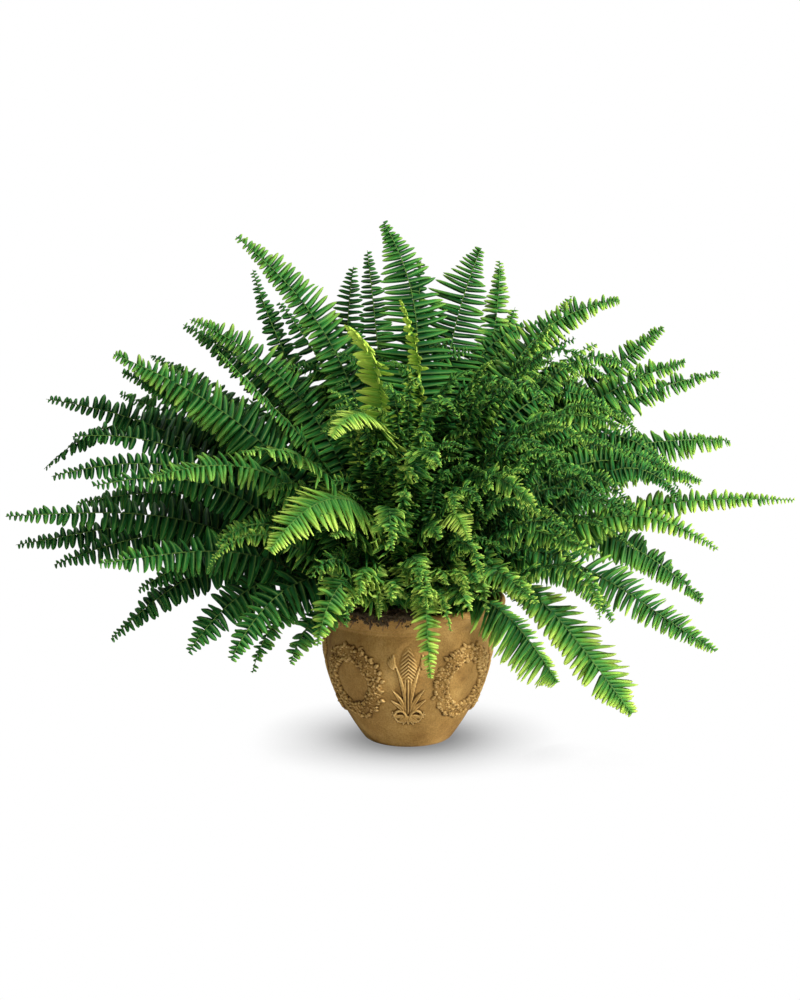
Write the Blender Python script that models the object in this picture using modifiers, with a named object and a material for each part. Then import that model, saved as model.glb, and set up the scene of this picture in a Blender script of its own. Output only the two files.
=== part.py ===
"""A potted Boston fern, at its real size.

Metres, +Z up. The origin is the middle of the pot's flat underside, and the viewer stands at -Y.
The fern grows as tufts: one or two arching fronds rise from a woody crown that stands in the soil.
"""

import collections
import math

import bmesh
import bpy
from mathutils import Matrix, Vector
from mathutils.bvhtree import BVHTree

UP = Vector((0, 0, 1))

# Pot: a cast stoneware bowl on a small foot, 208 mm across its flared rim and 155 mm high
POT_HEIGHT = 0.155
FOOT_RADIUS = 0.0445
BELLY_RADIUS = 0.0880
BELLY_HEIGHT = 0.106
BELLY_ROUNDING = 0.9
NECK_RADIUS = 0.0835
NECK_HEIGHT = 0.129
RIM_RADIUS = 0.104
LIP_HEIGHT = 0.008
LIP_ROUND = 0.003
NECK_FLARE = (0.007, 0.009)
WALL = 0.0075
FLOOR = 0.012
INNER_LOW = 0.045
INNER_TAPER = 0.002
POT_STEPS = 52
MERGE = 0.0001
FOOT_ROWS = (0.0, 0.005, 0.013)
BELLY_ROWS = (0.023, 0.035, 0.047, 0.059, 0.071, 0.083, 0.095, 0.110)

# Relief on the belly: four floral wreaths, and a plume of leaves between each two
RELIEF = 0.0028
WREATH_COUNT = 4
WREATH_MIDDLE = 0.060
WREATH_WIDTH = math.radians(23)
WREATH_TALL = 0.033
WREATH_BAND = 0.30
PLUME_FOOT = 0.020
PLUME_TOP = 0.100
PLUME_WIDTH = math.radians(15)
PLUME_STEM = 0.02
PLUME_LEAN = 0.8

# Soil: a low mound that fills the pot to just under its rim
SOIL_EDGE_HEIGHT = 0.142
SOIL_MOUND = 0.008
SOIL_STEPS = 26
GAP = 0.0003

# Crowns: short four-sided stubs, each in a plain hole in the soil
CROWN_SPOTS = 80
CROWN_FIELD = 0.074
INNERMOST = 0.08
OUTERMOST = 0.95
OUTERMOST_LEAN = 45
CROWN_RADIUS = 0.0068
CROWN_TOP_RADIUS = 0.0058
CROWN_BELOW = 0.008
CROWN_ABOVE = 0.004
HOLE_DEPTH = CROWN_BELOW + GAP
HOLE_ABOVE = 0.010

# Fronds: a slim stalk, then leaflets cut to the rib in one thin arched blade. The pulls are the lengths
# of the rib's two handles as shares of its chord, and the rib sways a little to one side.
ROOT_PULL = 0.42
TIP_PULL = 0.34
ARCH_PULL = 0.45
SWAY = 0.03
SWAY_WAVES = 5
ARCH_LENGTH = 1.12
STALK_SHARE = 0.16
STALK_SEGMENTS = 2
STALK_HALF = 0.0014
RIB_HALF = 0.0010
TIP_HALF = 0.0005
STALK_THICK = 0.0026
RIB_THICK = 0.0013
LEAFLET_THICK = 0.0006
LEAFLET_PITCH = 0.0455
FEWEST_PAIRS = 5
MOST_PAIRS = 11
LEAFLET_DROOP = math.radians(14)
LEAFLET_SWEEP = 0.3
ALTERNATE = 0.45
BLADE_END = 0.965
SIBLING_SPREAD = 0.0024

# Leaflets reach out quickly from the blade's foot, then taper from a quarter of the way to the tip
SWELL_FOOT = 0.62
SWELL_RATE = 1.6
TAPER_FROM = 0.25
TAPER = 0.82
TAPER_CURVE = 0.8

# Bending clear: each frond takes the least turn, lift and roll at which it touches nothing standing
CLEARANCE = 0.0006
TURNS = (0, 3, -3, 6, -6, 9, -9, 12, -12, 16, -16, 20, -20)
LIFTS = (0, 2, -2, 4, -4, 6, -6, 9, -9, 12, -12)
ROLLS = (0, 10, -10, 20, -20, 30, -30)
TURN_WEIGHT = 0.6
LIFT_WEIGHT = 1.4
ROLL_WEIGHT = 0.25

# Blades lie open to the front, more so on fronds that reach to the sides, and no two quite alike
FACING = 54
FACING_VARIETY = 8
FACING_WAVES = 11
FAR_SIDE = 0.18

Frond = collections.namedtuple("Frond", "tip launch finish breadth")

# Each tuft: its side of the plant, then its fronds. A frond is its tip in metres, the angle at which it
# leaves the crown, the angle at which it ends and its half breadth. The first in the list keep their place.
TUFTS = (
    ("front", Frond((-0.135, -0.210, 0.245), 80, -42, 0.040)),
    ("front", Frond((-0.075, -0.200, 0.355), 84, -28, 0.034)),
    ("front", Frond((0.227, -0.135, 0.062), 58, -48, 0.044)),
    ("front", Frond((0.147, -0.205, 0.112), 42, -36, 0.037)),
    ("front", Frond((0.022, -0.165, 0.105), 74, -80, 0.028)),
    ("left", Frond((-0.420, -0.040, 0.248), 42, -2, 0.031), Frond((-0.320, -0.100, 0.290), 56, -10, 0.031)),
    ("right", Frond((0.408, -0.010, 0.260), 44, -2, 0.028), Frond((0.320, -0.070, 0.218), 50, -36, 0.031)),
    ("left", Frond((-0.180, 0.020, 0.535), 84, 38, 0.035), Frond((-0.230, 0.020, 0.448), 72, 22, 0.032)),
    ("left", Frond((-0.385, 0.030, 0.362), 54, 8, 0.031), Frond((-0.352, -0.005, 0.329), 50, -4, 0.031)),
    ("right", Frond((0.307, -0.165, 0.134), 60, -26, 0.034)),
    ("right", Frond((0.321, 0.020, 0.141), 62, -46, 0.036), Frond((0.216, -0.035, 0.134), 58, -62, 0.023)),
    ("right", Frond((0.220, -0.120, 0.350), 74, -22, 0.035)),
    ("top", Frond((-0.026, 0.020, 0.550), 88, 52, 0.036)),
    ("top", Frond((0.078, 0.060, 0.520), 78, 61, 0.040)),
    ("right", Frond((0.270, 0.050, 0.438), 62, 38, 0.034), Frond((0.290, -0.010, 0.406), 58, 14, 0.034)),
    ("right", Frond((0.220, -0.010, 0.471), 70, 8, 0.034)),
    ("right", Frond((0.340, 0.090, 0.383), 58, 8, 0.031)),
    ("right", Frond((0.363, 0.165, 0.297), 60, -6, 0.033), Frond((0.308, -0.030, 0.281), 58, -24, 0.025)),
    ("left", Frond((-0.305, -0.030, 0.417), 62, 24, 0.040), Frond((-0.193, -0.095, 0.429), 80, 46, 0.021)),
    ("left", Frond((-0.371, -0.035, 0.292), 54, -14, 0.031), Frond((-0.399, 0.095, 0.276), 70, -44, 0.031)),
    ("front", Frond((-0.065, -0.110, 0.450), 80, 18, 0.034)),
    ("front", Frond((0.145, -0.090, 0.455), 80, 48, 0.040)),
    ("left", Frond((-0.315, -0.020, 0.112), 52, -44, 0.031), Frond((-0.285, -0.020, 0.165), 58, -34, 0.029)),
    ("left", Frond((-0.230, -0.080, 0.114), 54, -54, 0.034)),
    ("left", Frond((-0.180, -0.125, 0.115), 56, -62, 0.034)),
    ("left", Frond((-0.121, -0.105, 0.106), 54, -70, 0.029), Frond((-0.160, -0.100, 0.095), 60, -78, 0.023)),
    ("left", Frond((-0.315, -0.110, 0.212), 46, -4, 0.032)),
    ("left", Frond((-0.379, 0.015, 0.185), 40, -22, 0.031), Frond((-0.425, 0.050, 0.200), 46, -10, 0.029)),
    ("top", Frond((-0.044, 0.100, 0.515), 84, 74, 0.027), Frond((-0.060, 0.060, 0.500), 68, 108, 0.030)),
    ("top", Frond((0.100, 0.120, 0.502), 78, 84, 0.027), Frond((0.120, 0.170, 0.447), 68, 54, 0.029)),
    ("top", Frond((0.014, 0.085, 0.505), 80, 82, 0.032)),
    ("top", Frond((-0.168, 0.100, 0.494), 76, 70, 0.025), Frond((-0.139, 0.085, 0.460), 80, 44, 0.031)),
    ("left", Frond((-0.300, 0.010, 0.396), 70, 24, 0.031), Frond((-0.296, 0.110, 0.371), 62, 16, 0.029)),
    ("left", Frond((-0.318, 0.130, 0.354), 56, 14, 0.030), Frond((-0.278, 0.145, 0.397), 64, 22, 0.026)),
    ("right", Frond((0.180, 0.120, 0.464), 70, 44, 0.027), Frond((0.210, 0.150, 0.408), 62, 14, 0.029)),
    ("left", Frond((-0.165, -0.160, 0.335), 72, -2, 0.032)),
    ("left", Frond((-0.260, -0.150, 0.306), 70, -12, 0.031)),
    ("front", Frond((0.030, -0.215, 0.330), 84, -16, 0.034)),
    ("front", Frond((0.190, -0.180, 0.235), 70, -12, 0.031)),
    ("front", Frond((-0.025, -0.210, 0.245), 70, -62, 0.029)),
    ("front", Frond((0.125, -0.225, 0.285), 82, -22, 0.028)),
    ("front", Frond((-0.015, -0.060, 0.475), 86, 62, 0.027)),
    ("front", Frond((0.126, -0.190, 0.195), 72, -16, 0.031)),
    ("front", Frond((-0.090, -0.190, 0.145), 58, -72, 0.031)),
    ("front", Frond((0.062, -0.155, 0.174), 58, -32, 0.028)),
)

# The far side: rings of tufts by rule, each with a first heading, a spacing and its two fronds' shapes
BACK_RINGS = (
    ("low", 5, 28, 31, (0.305, 0.115, 52, -44, 0.032), (0.350, 0.215, 50, -14, 0.031)),
    ("high", 5, 40, 26, (0.345, 0.300, 58, -8, 0.032), (0.270, 0.400, 68, 20, 0.031)),
)
BACK_STAGGER = 0.45
BACK_VARIETY = 0.035

# Young fronds: a tuft of one steep frond bears a second, shorter one, turned aside and held lower
STEEP = 66
YOUNG_SHARE = 0.66
YOUNG_TURN = 26
YOUNG_DROP = 14
YOUNG_HEIGHT = 0.8
YOUNG_BREADTH = 0.85


def material(name, colour, roughness):
    """A plain Principled finish."""
    made = bpy.data.materials.new(name)
    made.use_nodes = True
    shader = made.node_tree.nodes["Principled BSDF"]
    shader.inputs["Base Color"].default_value = (*colour, 1)
    shader.inputs["Roughness"].default_value = roughness
    return made


def new_object(name, mesh, collection, finish=None):
    """An object of this mesh in this collection."""
    made = bpy.data.objects.new(name, mesh)
    collection.objects.link(made)
    if finish:
        mesh.materials.append(finish)
    return made


def evaluated_copy(source, name):
    """The object's mesh with its modifiers applied."""
    graph = bpy.context.evaluated_depsgraph_get()
    mesh = bpy.data.meshes.new_from_object(source.evaluated_get(graph))
    mesh.name = name
    return mesh


# Pot

def body_radius(height):
    """The belly's bare outline: a quarter wave from foot to belly, then a soft turn to the neck."""
    if height <= BELLY_HEIGHT:
        share = math.sin(math.pi / 2 * max(0, height) / BELLY_HEIGHT) ** BELLY_ROUNDING
        return FOOT_RADIUS + (BELLY_RADIUS - FOOT_RADIUS) * share
    share = (height - BELLY_HEIGHT) / (NECK_HEIGHT - BELLY_HEIGHT)
    return BELLY_RADIUS + (NECK_RADIUS - BELLY_RADIUS) * share**2


def relief(angle, height):
    """How far the ornament stands out of the belly at this place."""
    quarter = 2 * math.pi / WREATH_COUNT
    from_plume = (angle + quarter / 2) % quarter - quarter / 2
    from_wreath = angle % quarter - quarter / 2
    ring = math.hypot(from_wreath / WREATH_WIDTH, (height - WREATH_MIDDLE) / WREATH_TALL)
    wreath = max(0.0, 1 - ((ring - 1) / WREATH_BAND) ** 2)
    climb = (height - PLUME_FOOT) / (PLUME_TOP - PLUME_FOOT)
    plume = 0.0
    if 0 < climb < 1:
        spread = PLUME_WIDTH * math.sin(math.pi * climb**PLUME_LEAN) + PLUME_STEM
        plume = max(0.0, 1 - (from_plume / spread) ** 2)
    return RELIEF * max(wreath, plume)


def inner_profile():
    """The pot's inside as radii and heights, from its floor up to the rim."""
    return [
        (body_radius(FLOOR) - WALL, FLOOR),
        (body_radius(INNER_LOW) - WALL, INNER_LOW),
        (BELLY_RADIUS - WALL - INNER_TAPER, BELLY_HEIGHT),
        (NECK_RADIUS - WALL, NECK_HEIGHT),
        (RIM_RADIUS - WALL, POT_HEIGHT - LIP_ROUND / 3),
    ]


def turned_mesh(name, profile, edges, steps, collection):
    """A profile of radii and heights, turned about the pot's axis."""
    mesh = bpy.data.meshes.new(name)
    mesh.from_pydata([(radius, 0, height) for radius, height in profile], edges, [])
    profile_object = new_object(name, mesh, collection)
    screw = profile_object.modifiers.new("turn", "SCREW")
    screw.steps = screw.render_steps = steps
    screw.use_merge_vertices = True
    screw.merge_threshold = MERGE
    turned = evaluated_copy(profile_object, name)
    bpy.data.objects.remove(profile_object)
    return turned


def make_pot(collection, finish):
    """The turned bowl: its outer side from the rim down to the foot, then its inside back up."""
    flare_out, flare_up = NECK_FLARE
    outside = [
        (RIM_RADIUS - LIP_ROUND, POT_HEIGHT),
        (RIM_RADIUS, POT_HEIGHT - LIP_ROUND),
        (RIM_RADIUS - LIP_ROUND / 3, POT_HEIGHT - LIP_HEIGHT),
        (NECK_RADIUS + flare_out, NECK_HEIGHT + flare_up),
        (NECK_RADIUS, NECK_HEIGHT),
    ]
    outside += [(body_radius(height), height) for height in reversed(FOOT_ROWS + BELLY_ROWS)]
    profile = outside + [(0, 0), (0, FLOOR)] + inner_profile()
    count = len(profile)
    edges = [(i, (i + 1) % count) for i in range(count) if i != len(outside)]
    pot_mesh = turned_mesh("pot", profile, edges, POT_STEPS, collection)
    pot = new_object("pot", pot_mesh, collection, finish)
    shape = bmesh.new()
    shape.from_mesh(pot_mesh)
    bmesh.ops.remove_doubles(shape, verts=shape.verts, dist=MERGE)
    bmesh.ops.recalc_face_normals(shape, faces=shape.faces)
    for vertex in shape.verts:
        radius = math.hypot(vertex.co.x, vertex.co.y)
        height = vertex.co.z
        on_outside = radius > body_radius(height) - WALL / 2
        if on_outside and BELLY_ROWS[0] - MERGE < height < BELLY_ROWS[-1]:
            out = 1 + relief(math.atan2(vertex.co.y, vertex.co.x), height) / radius
            vertex.co.x *= out
            vertex.co.y *= out
    shape.to_mesh(pot_mesh)
    shape.free()
    pot_mesh.shade_smooth()
    return pot


# Crowns and soil

def soil_height(radius):
    """The height of the mound, which is flat beyond the crowns."""
    return SOIL_EDGE_HEIGHT + SOIL_MOUND * max(0, 1 - (radius / CROWN_FIELD) ** 2)


def crown_spots():
    """Even places over the mound, as seeds lie in a sunflower."""
    golden = math.pi * (3 - math.sqrt(5))
    spots = []
    for i in range(CROWN_SPOTS):
        radius = CROWN_FIELD * math.sqrt((i + 0.5) / CROWN_SPOTS)
        across = (radius * math.cos(golden * i), radius * math.sin(golden * i))
        spots.append(Vector((*across, soil_height(radius))))
    return spots


def ideal_foot(frond):
    """Fronds that lean out grow from the edge of the clump and upright ones from its middle."""
    heading = math.atan2(frond.tip[1], frond.tip[0])
    radius = CROWN_FIELD * max(INNERMOST, min(OUTERMOST, (90 - frond.launch) / OUTERMOST_LEAN))
    return Vector((radius * math.cos(heading), radius * math.sin(heading), 0))


def four_sided(name, radius, top_radius, low, high, spot, collection):
    """A square stub or its hole, turned to face away from the pot's axis."""
    shape = bmesh.new()
    place = Matrix.Translation((spot.x, spot.y, (low + high) / 2)) @ Matrix.Rotation(
        math.atan2(spot.y, spot.x) + math.pi / 4, 4, "Z"
    )
    bmesh.ops.create_cone(
        shape,
        cap_ends=True,
        segments=4,
        radius1=radius,
        radius2=top_radius,
        depth=high - low,
        matrix=place,
    )
    mesh = bpy.data.meshes.new(name)
    shape.to_mesh(mesh)
    shape.free()
    return new_object(name, mesh, collection)


def apply_boolean(target, operation, others):
    """Joins to, or cuts from, the target every object of a collection, and removes those objects."""
    boolean = target.modifiers.new(operation.lower(), "BOOLEAN")
    boolean.operation = operation
    boolean.solver = "EXACT"
    boolean.operand_type = "COLLECTION"
    boolean.collection = others
    mesh = evaluated_copy(target, target.name)
    target.modifiers.clear()
    target.data = mesh
    for other in list(others.objects):
        bpy.data.objects.remove(other)


def make_soil(spots, collection, cutters, finish):
    """A turned mound that fills the pot's inside, less a small gap, with a hole for each crown."""
    inside = inner_profile()
    (neck_radius, neck_height), (rim_radius, rim_height) = inside[-2:]
    climb = (SOIL_EDGE_HEIGHT - neck_height) / (rim_height - neck_height)
    edge = (neck_radius + (rim_radius - neck_radius) * climb, SOIL_EDGE_HEIGHT)
    side = [(radius - 2 * GAP, height) for radius, height in (edge, *inside[-2:0:-1])]
    bottom = FLOOR + GAP
    profile = [(0, SOIL_EDGE_HEIGHT + SOIL_MOUND), (CROWN_FIELD, SOIL_EDGE_HEIGHT), *side]
    profile += [(inside[0][0] - 2 * GAP, bottom), (0, bottom)]
    edges = [(i, i + 1) for i in range(len(profile) - 1)]
    soil_mesh = turned_mesh("soil", profile, edges, SOIL_STEPS, collection)
    soil = new_object("soil", soil_mesh, collection, finish)
    hole_radius = CROWN_RADIUS + GAP * math.sqrt(2)
    for i, spot in enumerate(spots):
        low, high = spot.z - HOLE_DEPTH, spot.z + HOLE_ABOVE
        four_sided(f"hole_{i}", hole_radius, hole_radius, low, high, spot, cutters)
    apply_boolean(soil, "DIFFERENCE", cutters)
    return soil


# Fronds

def rib_controls(frond, foot, trial):
    """The four controls of a frond's rib: it leaves the crown at one angle and ends at another."""
    turn, lift, _ = trial
    reach = Vector(frond.tip) - foot
    heading = math.atan2(reach.y, reach.x) + math.radians(turn)
    rise = math.atan2(reach.z, reach.xy.length) + math.radians(lift)
    out = Vector((math.cos(heading), math.sin(heading), 0))
    side = UP.cross(out)
    length = reach.length

    def along(angle):
        return math.cos(angle) * out + math.sin(angle) * UP

    tip = foot + length * along(rise)
    arch = length * (1 + ARCH_PULL * (frond.launch - frond.finish) / 180)
    leave = arch * ROOT_PULL * along(math.radians(frond.launch + lift))
    arrive = arch * TIP_PULL * along(math.radians(frond.finish + lift))
    sway = SWAY * length * math.sin(SWAY_WAVES * heading)
    return foot, foot + leave, tip - arrive + sway * side, tip, side


def rib_at(controls, share):
    """A place on the rib and the rib's direction there."""
    a, b, c, d = controls[:4]
    rest = 1 - share
    place = rest**3 * a + 3 * rest**2 * share * b + 3 * rest * share**2 * c + share**3 * d
    along = rest**2 * (b - a) + 2 * rest * share * (c - b) + share**2 * (d - c)
    return place, along.normalized()


def blade_frame(controls, share, roll):
    """The rib's place there, its direction, the way across its blade and out of its upper face."""
    place, along = rib_at(controls, share)
    side = controls[4]
    level = (side - side.dot(along) * along).normalized()
    across = Matrix.Rotation(math.radians(roll), 3, along) @ level
    return place, along, across, along.cross(across)


def blade_roll(frond):
    """How far the blade rolls about its rib: near blades open to the front, far ones to the back."""
    heading = math.atan2(frond.tip[1], frond.tip[0])
    open_way = -1 if frond.tip[1] > FAR_SIDE else 1
    wave = math.sin(FACING_WAVES * heading + frond.launch)
    return open_way * FACING * math.cos(heading) + FACING_VARIETY * wave


def leaflet_reach(share):
    """How far the leaflets reach at this share of the blade, as a share of its half breadth."""
    swell = min(1.0, SWELL_FOOT + SWELL_RATE * share)
    past = max(0.0, share - TAPER_FROM) / (1 - TAPER_FROM)
    return swell * (1 - TAPER * past) ** TAPER_CURVE


def pairs_of(frond, foot):
    """How many pairs of leaflets the blade bears, by its length."""
    blade = (1 - STALK_SHARE) * (Vector(frond.tip) - foot).length * ARCH_LENGTH
    return max(FEWEST_PAIRS, min(MOST_PAIRS, round(blade / LEAFLET_PITCH)))


def frond_shape(frond, foot, trial, extra=0.0):
    """Points and triangles of one frond. `extra` thickens it, for the test of what it would touch."""
    controls = rib_controls(frond, foot, trial)
    roll = blade_roll(frond) + trial[2]
    pairs = pairs_of(frond, foot)
    stations = [STALK_SHARE * j / STALK_SEGMENTS for j in range(STALK_SEGMENTS)]
    step = (BLADE_END - STALK_SHARE) / pairs
    stations += [STALK_SHARE + step * j for j in range(pairs + 1)]
    points, faces = [], []

    def pair(place, normal, thick):
        """The upper and the lower point there, with the rib's line half way between them."""
        points.append(place + normal * (thick / 2 + extra))
        points.append(place - normal * (thick / 2 + extra))
        return len(points) - 2

    def quad(a, b, c, d):
        faces.extend(((a, b, c), (a, c, d)))

    def edge(share, sign):
        """The rib's edge there, on one side."""
        place, _, across, normal = blade_frame(controls, share, roll)
        bare = min(1.0, share / STALK_SHARE)
        half = STALK_HALF + (RIB_HALF - STALK_HALF) * bare
        half += (TIP_HALF - RIB_HALF) * max(0.0, share - STALK_SHARE) / (1 - STALK_SHARE)
        thick = STALK_THICK + (RIB_THICK - STALK_THICK) * bare
        return pair(place + sign * (half + extra) * across, normal, thick)

    lefts, rights = [], []
    for j, share in enumerate(stations):
        lefts.append(edge(share, 1))
        rights.append(edge(share - ALTERNATE * step * (j > STALK_SEGMENTS), -1))
    for j in range(len(stations) - 1):
        l0, l1, r0, r1 = lefts[j], lefts[j + 1], rights[j], rights[j + 1]
        faces.extend(((r0, r1, l0), (l0, r1, l1)))
        faces.extend(((r0 + 1, l0 + 1, r1 + 1), (l0 + 1, l1 + 1, r1 + 1)))
        if j < STALK_SEGMENTS:
            quad(l0, l1, l1 + 1, l0 + 1)
            quad(r1, r0, r0 + 1, r1 + 1)
            continue
        reach = frond.breadth * leaflet_reach((stations[j] - STALK_SHARE) / (1 - STALK_SHARE)) + extra
        for sign, near, far in ((1, l0, l1), (-1, r1, r0)):
            middle = stations[j] + (0.5 + LEAFLET_SWEEP - ALTERNATE * (sign < 0)) * step
            place, _, across, normal = blade_frame(controls, middle, roll)
            out = math.cos(LEAFLET_DROOP) * sign * across - math.sin(LEAFLET_DROOP) * normal
            face = math.cos(LEAFLET_DROOP) * normal + math.sin(LEAFLET_DROOP) * sign * across
            end = pair(place + reach * out, face, LEAFLET_THICK)
            faces.extend(((near, far, end), (far + 1, near + 1, end + 1)))
            quad(near, end, end + 1, near + 1)
            quad(end, far, far + 1, end + 1)
    place, _, _, normal = blade_frame(controls, 1.0, roll)
    end = pair(place, normal, LEAFLET_THICK)
    left, right = lefts[-1], rights[-1]
    faces.extend(((right, end, left), (left + 1, end + 1, right + 1)))
    quad(left, end, end + 1, left + 1)
    quad(end, right, right + 1, end + 1)
    quad(rights[0], lefts[0], lefts[0] + 1, rights[0] + 1)
    return points, faces


def bend_cost(trial):
    turn, lift, roll = trial
    return TURN_WEIGHT * abs(turn) + LIFT_WEIGHT * abs(lift) + ROLL_WEIGHT * abs(roll)


def trials():
    """Every small turn, lift and roll, the smallest first."""
    found = [(turn, lift, roll) for turn in TURNS for lift in LIFTS for roll in ROLLS]
    return sorted(found, key=bend_cost)


def tree_of(points, faces):
    return BVHTree.FromPolygons(points, faces)


def tree_of_object(solid):
    mesh = solid.data
    return tree_of([v.co.copy() for v in mesh.vertices], [tuple(p.vertices) for p in mesh.polygons])


def above_foot(points, faces):
    """A frond without its foot, which starts down in the crown."""
    foot_points = 4
    return points, [face for face in faces if min(face) >= foot_points]


def crosses_itself(points, faces):
    tree = tree_of(points, faces)
    return any(not set(faces[a]) & set(faces[b]) for a, b in tree.overlap(tree))


def bend_clear(frond, foot, fronds, bowl):
    """The first trial at which the frond touches no other and, above its foot, no soil or pot."""
    for trial in trials():
        shape = frond_shape(frond, foot, trial, CLEARANCE)
        whole = tree_of(*shape)
        free = tree_of(*above_foot(*shape))
        if any(whole.overlap(other) for other in fronds) or any(free.overlap(other) for other in bowl):
            continue
        if not crosses_itself(*frond_shape(frond, foot, trial)):
            return trial
    return None


def young_frond(frond, number, foot):
    """A shorter frond from the same crown, turned to one side of the first and held lower."""
    turned = math.radians(YOUNG_TURN if number % 2 else -YOUNG_TURN)
    reach = Matrix.Rotation(turned, 3, "Z") @ (Vector(frond.tip) - foot) * YOUNG_SHARE
    reach.z *= YOUNG_HEIGHT
    launch = frond.launch - YOUNG_DROP
    return Frond(tuple(foot + reach), launch, frond.finish - YOUNG_DROP, frond.breadth * YOUNG_BREADTH)


def back_tufts():
    """The far side's tufts, spaced by rule and varied by a fixed wave so that no two are alike."""
    found = []
    for ring, count, first, spacing, lower, upper in BACK_RINGS:
        for i in range(count):
            fronds = []
            for k, (reach, height, launch, finish, breadth) in enumerate((lower, upper)):
                heading = math.radians(first + spacing * (i + BACK_STAGGER * k))
                wave = math.sin(2.4 * i + 1.7 * k + first)
                far = reach * (1 + 2 * BACK_VARIETY * wave)
                high = height + BACK_VARIETY * math.cos(3.1 * i + k)
                tip = (far * math.cos(heading), far * math.sin(heading), high)
                fronds.append(Frond(tip, launch, finish, breadth))
            found.append((f"back_{ring}", *fronds))
    return found


def build():
    """Clears the scene, then makes the pot, the soil and each tuft of fronds."""
    for thing in list(bpy.data.objects):
        bpy.data.objects.remove(thing)
    scene = bpy.context.scene.collection
    fern = bpy.data.collections.new("potted_fern")
    cutters = bpy.data.collections.new("cutters")
    pieces = bpy.data.collections.new("pieces")
    for collection in (fern, cutters, pieces):
        scene.children.link(collection)
    stoneware = material("stoneware", (0.42, 0.27, 0.13), 0.85)
    earth = material("earth", (0.05, 0.03, 0.02), 0.95)
    fresh = material("leaf_fresh", (0.16, 0.36, 0.03), 0.5)
    deep = material("leaf_deep", (0.04, 0.17, 0.03), 0.5)

    pot = make_pot(fern, stoneware)
    tufts = list(TUFTS) + back_tufts()
    free = crown_spots()
    spots = []
    for _, *fronds in tufts:
        wanted = sum((ideal_foot(frond) for frond in fronds), Vector()) / len(fronds)
        spot = min(free, key=lambda place: (place.xy - wanted.xy).length)
        free.remove(spot)
        spots.append(spot)
    soil = make_soil(spots, fern, cutters, earth)

    crowns = []
    numbers = collections.Counter()
    for (side, *_), spot in zip(tufts, spots):
        numbers[side] += 1
        name = f"frond_{side}_{numbers[side]:02d}"
        low, high = spot.z - CROWN_BELOW, spot.z + CROWN_ABOVE
        crown = four_sided(name, CROWN_RADIUS, CROWN_TOP_RADIUS, low, high, spot, fern)
        crown.data.materials.append(fresh if side in ("front", "right") else deep)
        crowns.append(crown)
    bowl = [tree_of_object(pot), tree_of_object(soil)]
    stubs = [tree_of_object(crown) for crown in crowns]
    grown = []
    shapes = [[] for _ in tufts]

    def grow(number, frond, sibling):
        """Bends one frond of a tuft clear of all that stands, and keeps its shape."""
        spot = spots[number]
        turn = Vector(frond.tip).xy.angle_signed(Vector(sibling.tip).xy, 0) if sibling else 0
        apart = UP.cross(Vector((spot.x, spot.y, 0))).normalized() * SIBLING_SPREAD
        foot = spot + apart * ((turn > 0) - (turn < 0))
        trial = bend_clear(frond, foot, grown + stubs[:number] + stubs[number + 1 :], bowl)
        if trial is None:
            return
        points, faces = frond_shape(frond, foot, trial)
        grown.append(tree_of(points, faces))
        shapes[number].append((points, faces))

    for number, (_, first, *second) in enumerate(tufts):
        young = young_frond(first, number, spots[number]) if not second and first.launch >= STEEP else None
        sibling = second[0] if second else young
        grow(number, first, sibling)
        if second:
            grow(number, sibling, first)
    for number, (_, first, *second) in enumerate(tufts):
        if not second and first.launch >= STEEP:
            grow(number, young_frond(first, number, spots[number]), first)
    for crown, fronds in zip(crowns, shapes):
        for points, faces in fronds:
            mesh = bpy.data.meshes.new(crown.name)
            mesh.from_pydata(points, [], faces)
            new_object("frond", mesh, pieces)
        apply_boolean(crown, "UNION", pieces)
    for collection in (cutters, pieces):
        bpy.data.collections.remove(collection)


build()
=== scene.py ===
import collections
import math

import bpy
import numpy as np
from mathutils import Matrix, Vector, kdtree, noise


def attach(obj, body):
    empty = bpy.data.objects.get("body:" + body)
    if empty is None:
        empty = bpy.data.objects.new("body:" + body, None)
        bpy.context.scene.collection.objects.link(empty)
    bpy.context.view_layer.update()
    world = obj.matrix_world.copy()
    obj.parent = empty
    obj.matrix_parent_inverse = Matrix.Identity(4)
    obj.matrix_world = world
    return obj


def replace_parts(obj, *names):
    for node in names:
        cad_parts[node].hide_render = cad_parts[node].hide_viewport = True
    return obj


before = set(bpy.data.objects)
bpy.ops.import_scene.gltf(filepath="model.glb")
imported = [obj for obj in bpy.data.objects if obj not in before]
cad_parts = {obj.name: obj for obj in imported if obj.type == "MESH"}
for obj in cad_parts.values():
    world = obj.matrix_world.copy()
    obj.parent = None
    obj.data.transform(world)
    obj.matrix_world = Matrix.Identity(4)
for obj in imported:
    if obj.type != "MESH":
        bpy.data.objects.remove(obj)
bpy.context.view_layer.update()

# Pot: a bowl of tan stoneware on a small foot, cast in a mould and left matte. The wall is turned first,
# then carved: four wreaths of small flowers, and between them four plumes of leaves over a pair of scrolls.
POT_HEIGHT = 0.155
FOOT_RADIUS = 0.0445
BELLY_RADIUS, BELLY_HEIGHT, BELLY_ROUNDING = 0.0880, 0.106, 0.9
NECK_RADIUS, NECK_HEIGHT = 0.0835, 0.129
RIM_RADIUS, LIP_HEIGHT = 0.104, 0.008
WALL, FLOOR = 0.0075, 0.012
POT_TURNS, SEAM_GAP = 560, 0.00002
PLAIN_ROW, CARVED_ROW = 0.0030, 0.0009
FIRST_ROW, LAST_ROWS = 0.0025, (0.1255, 0.1275, NECK_HEIGHT)
CARVED_LOW, CARVED_HIGH, CARVED_FADE = 0.022, 0.124, 0.002
FLARE_ROWS, FLARE_SHORT, FLARE_CURVE = 20, 0.0035, 1.35
GROOVE_HEIGHT, GROOVE_DEPTH, GROOVE_WIDTH = 0.1330, 0.0011, 0.0011
LIP_ROWS = ((0.0034, -0.0006), (0.0014, 0.0002), (0.0003, 0.0016))
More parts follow.
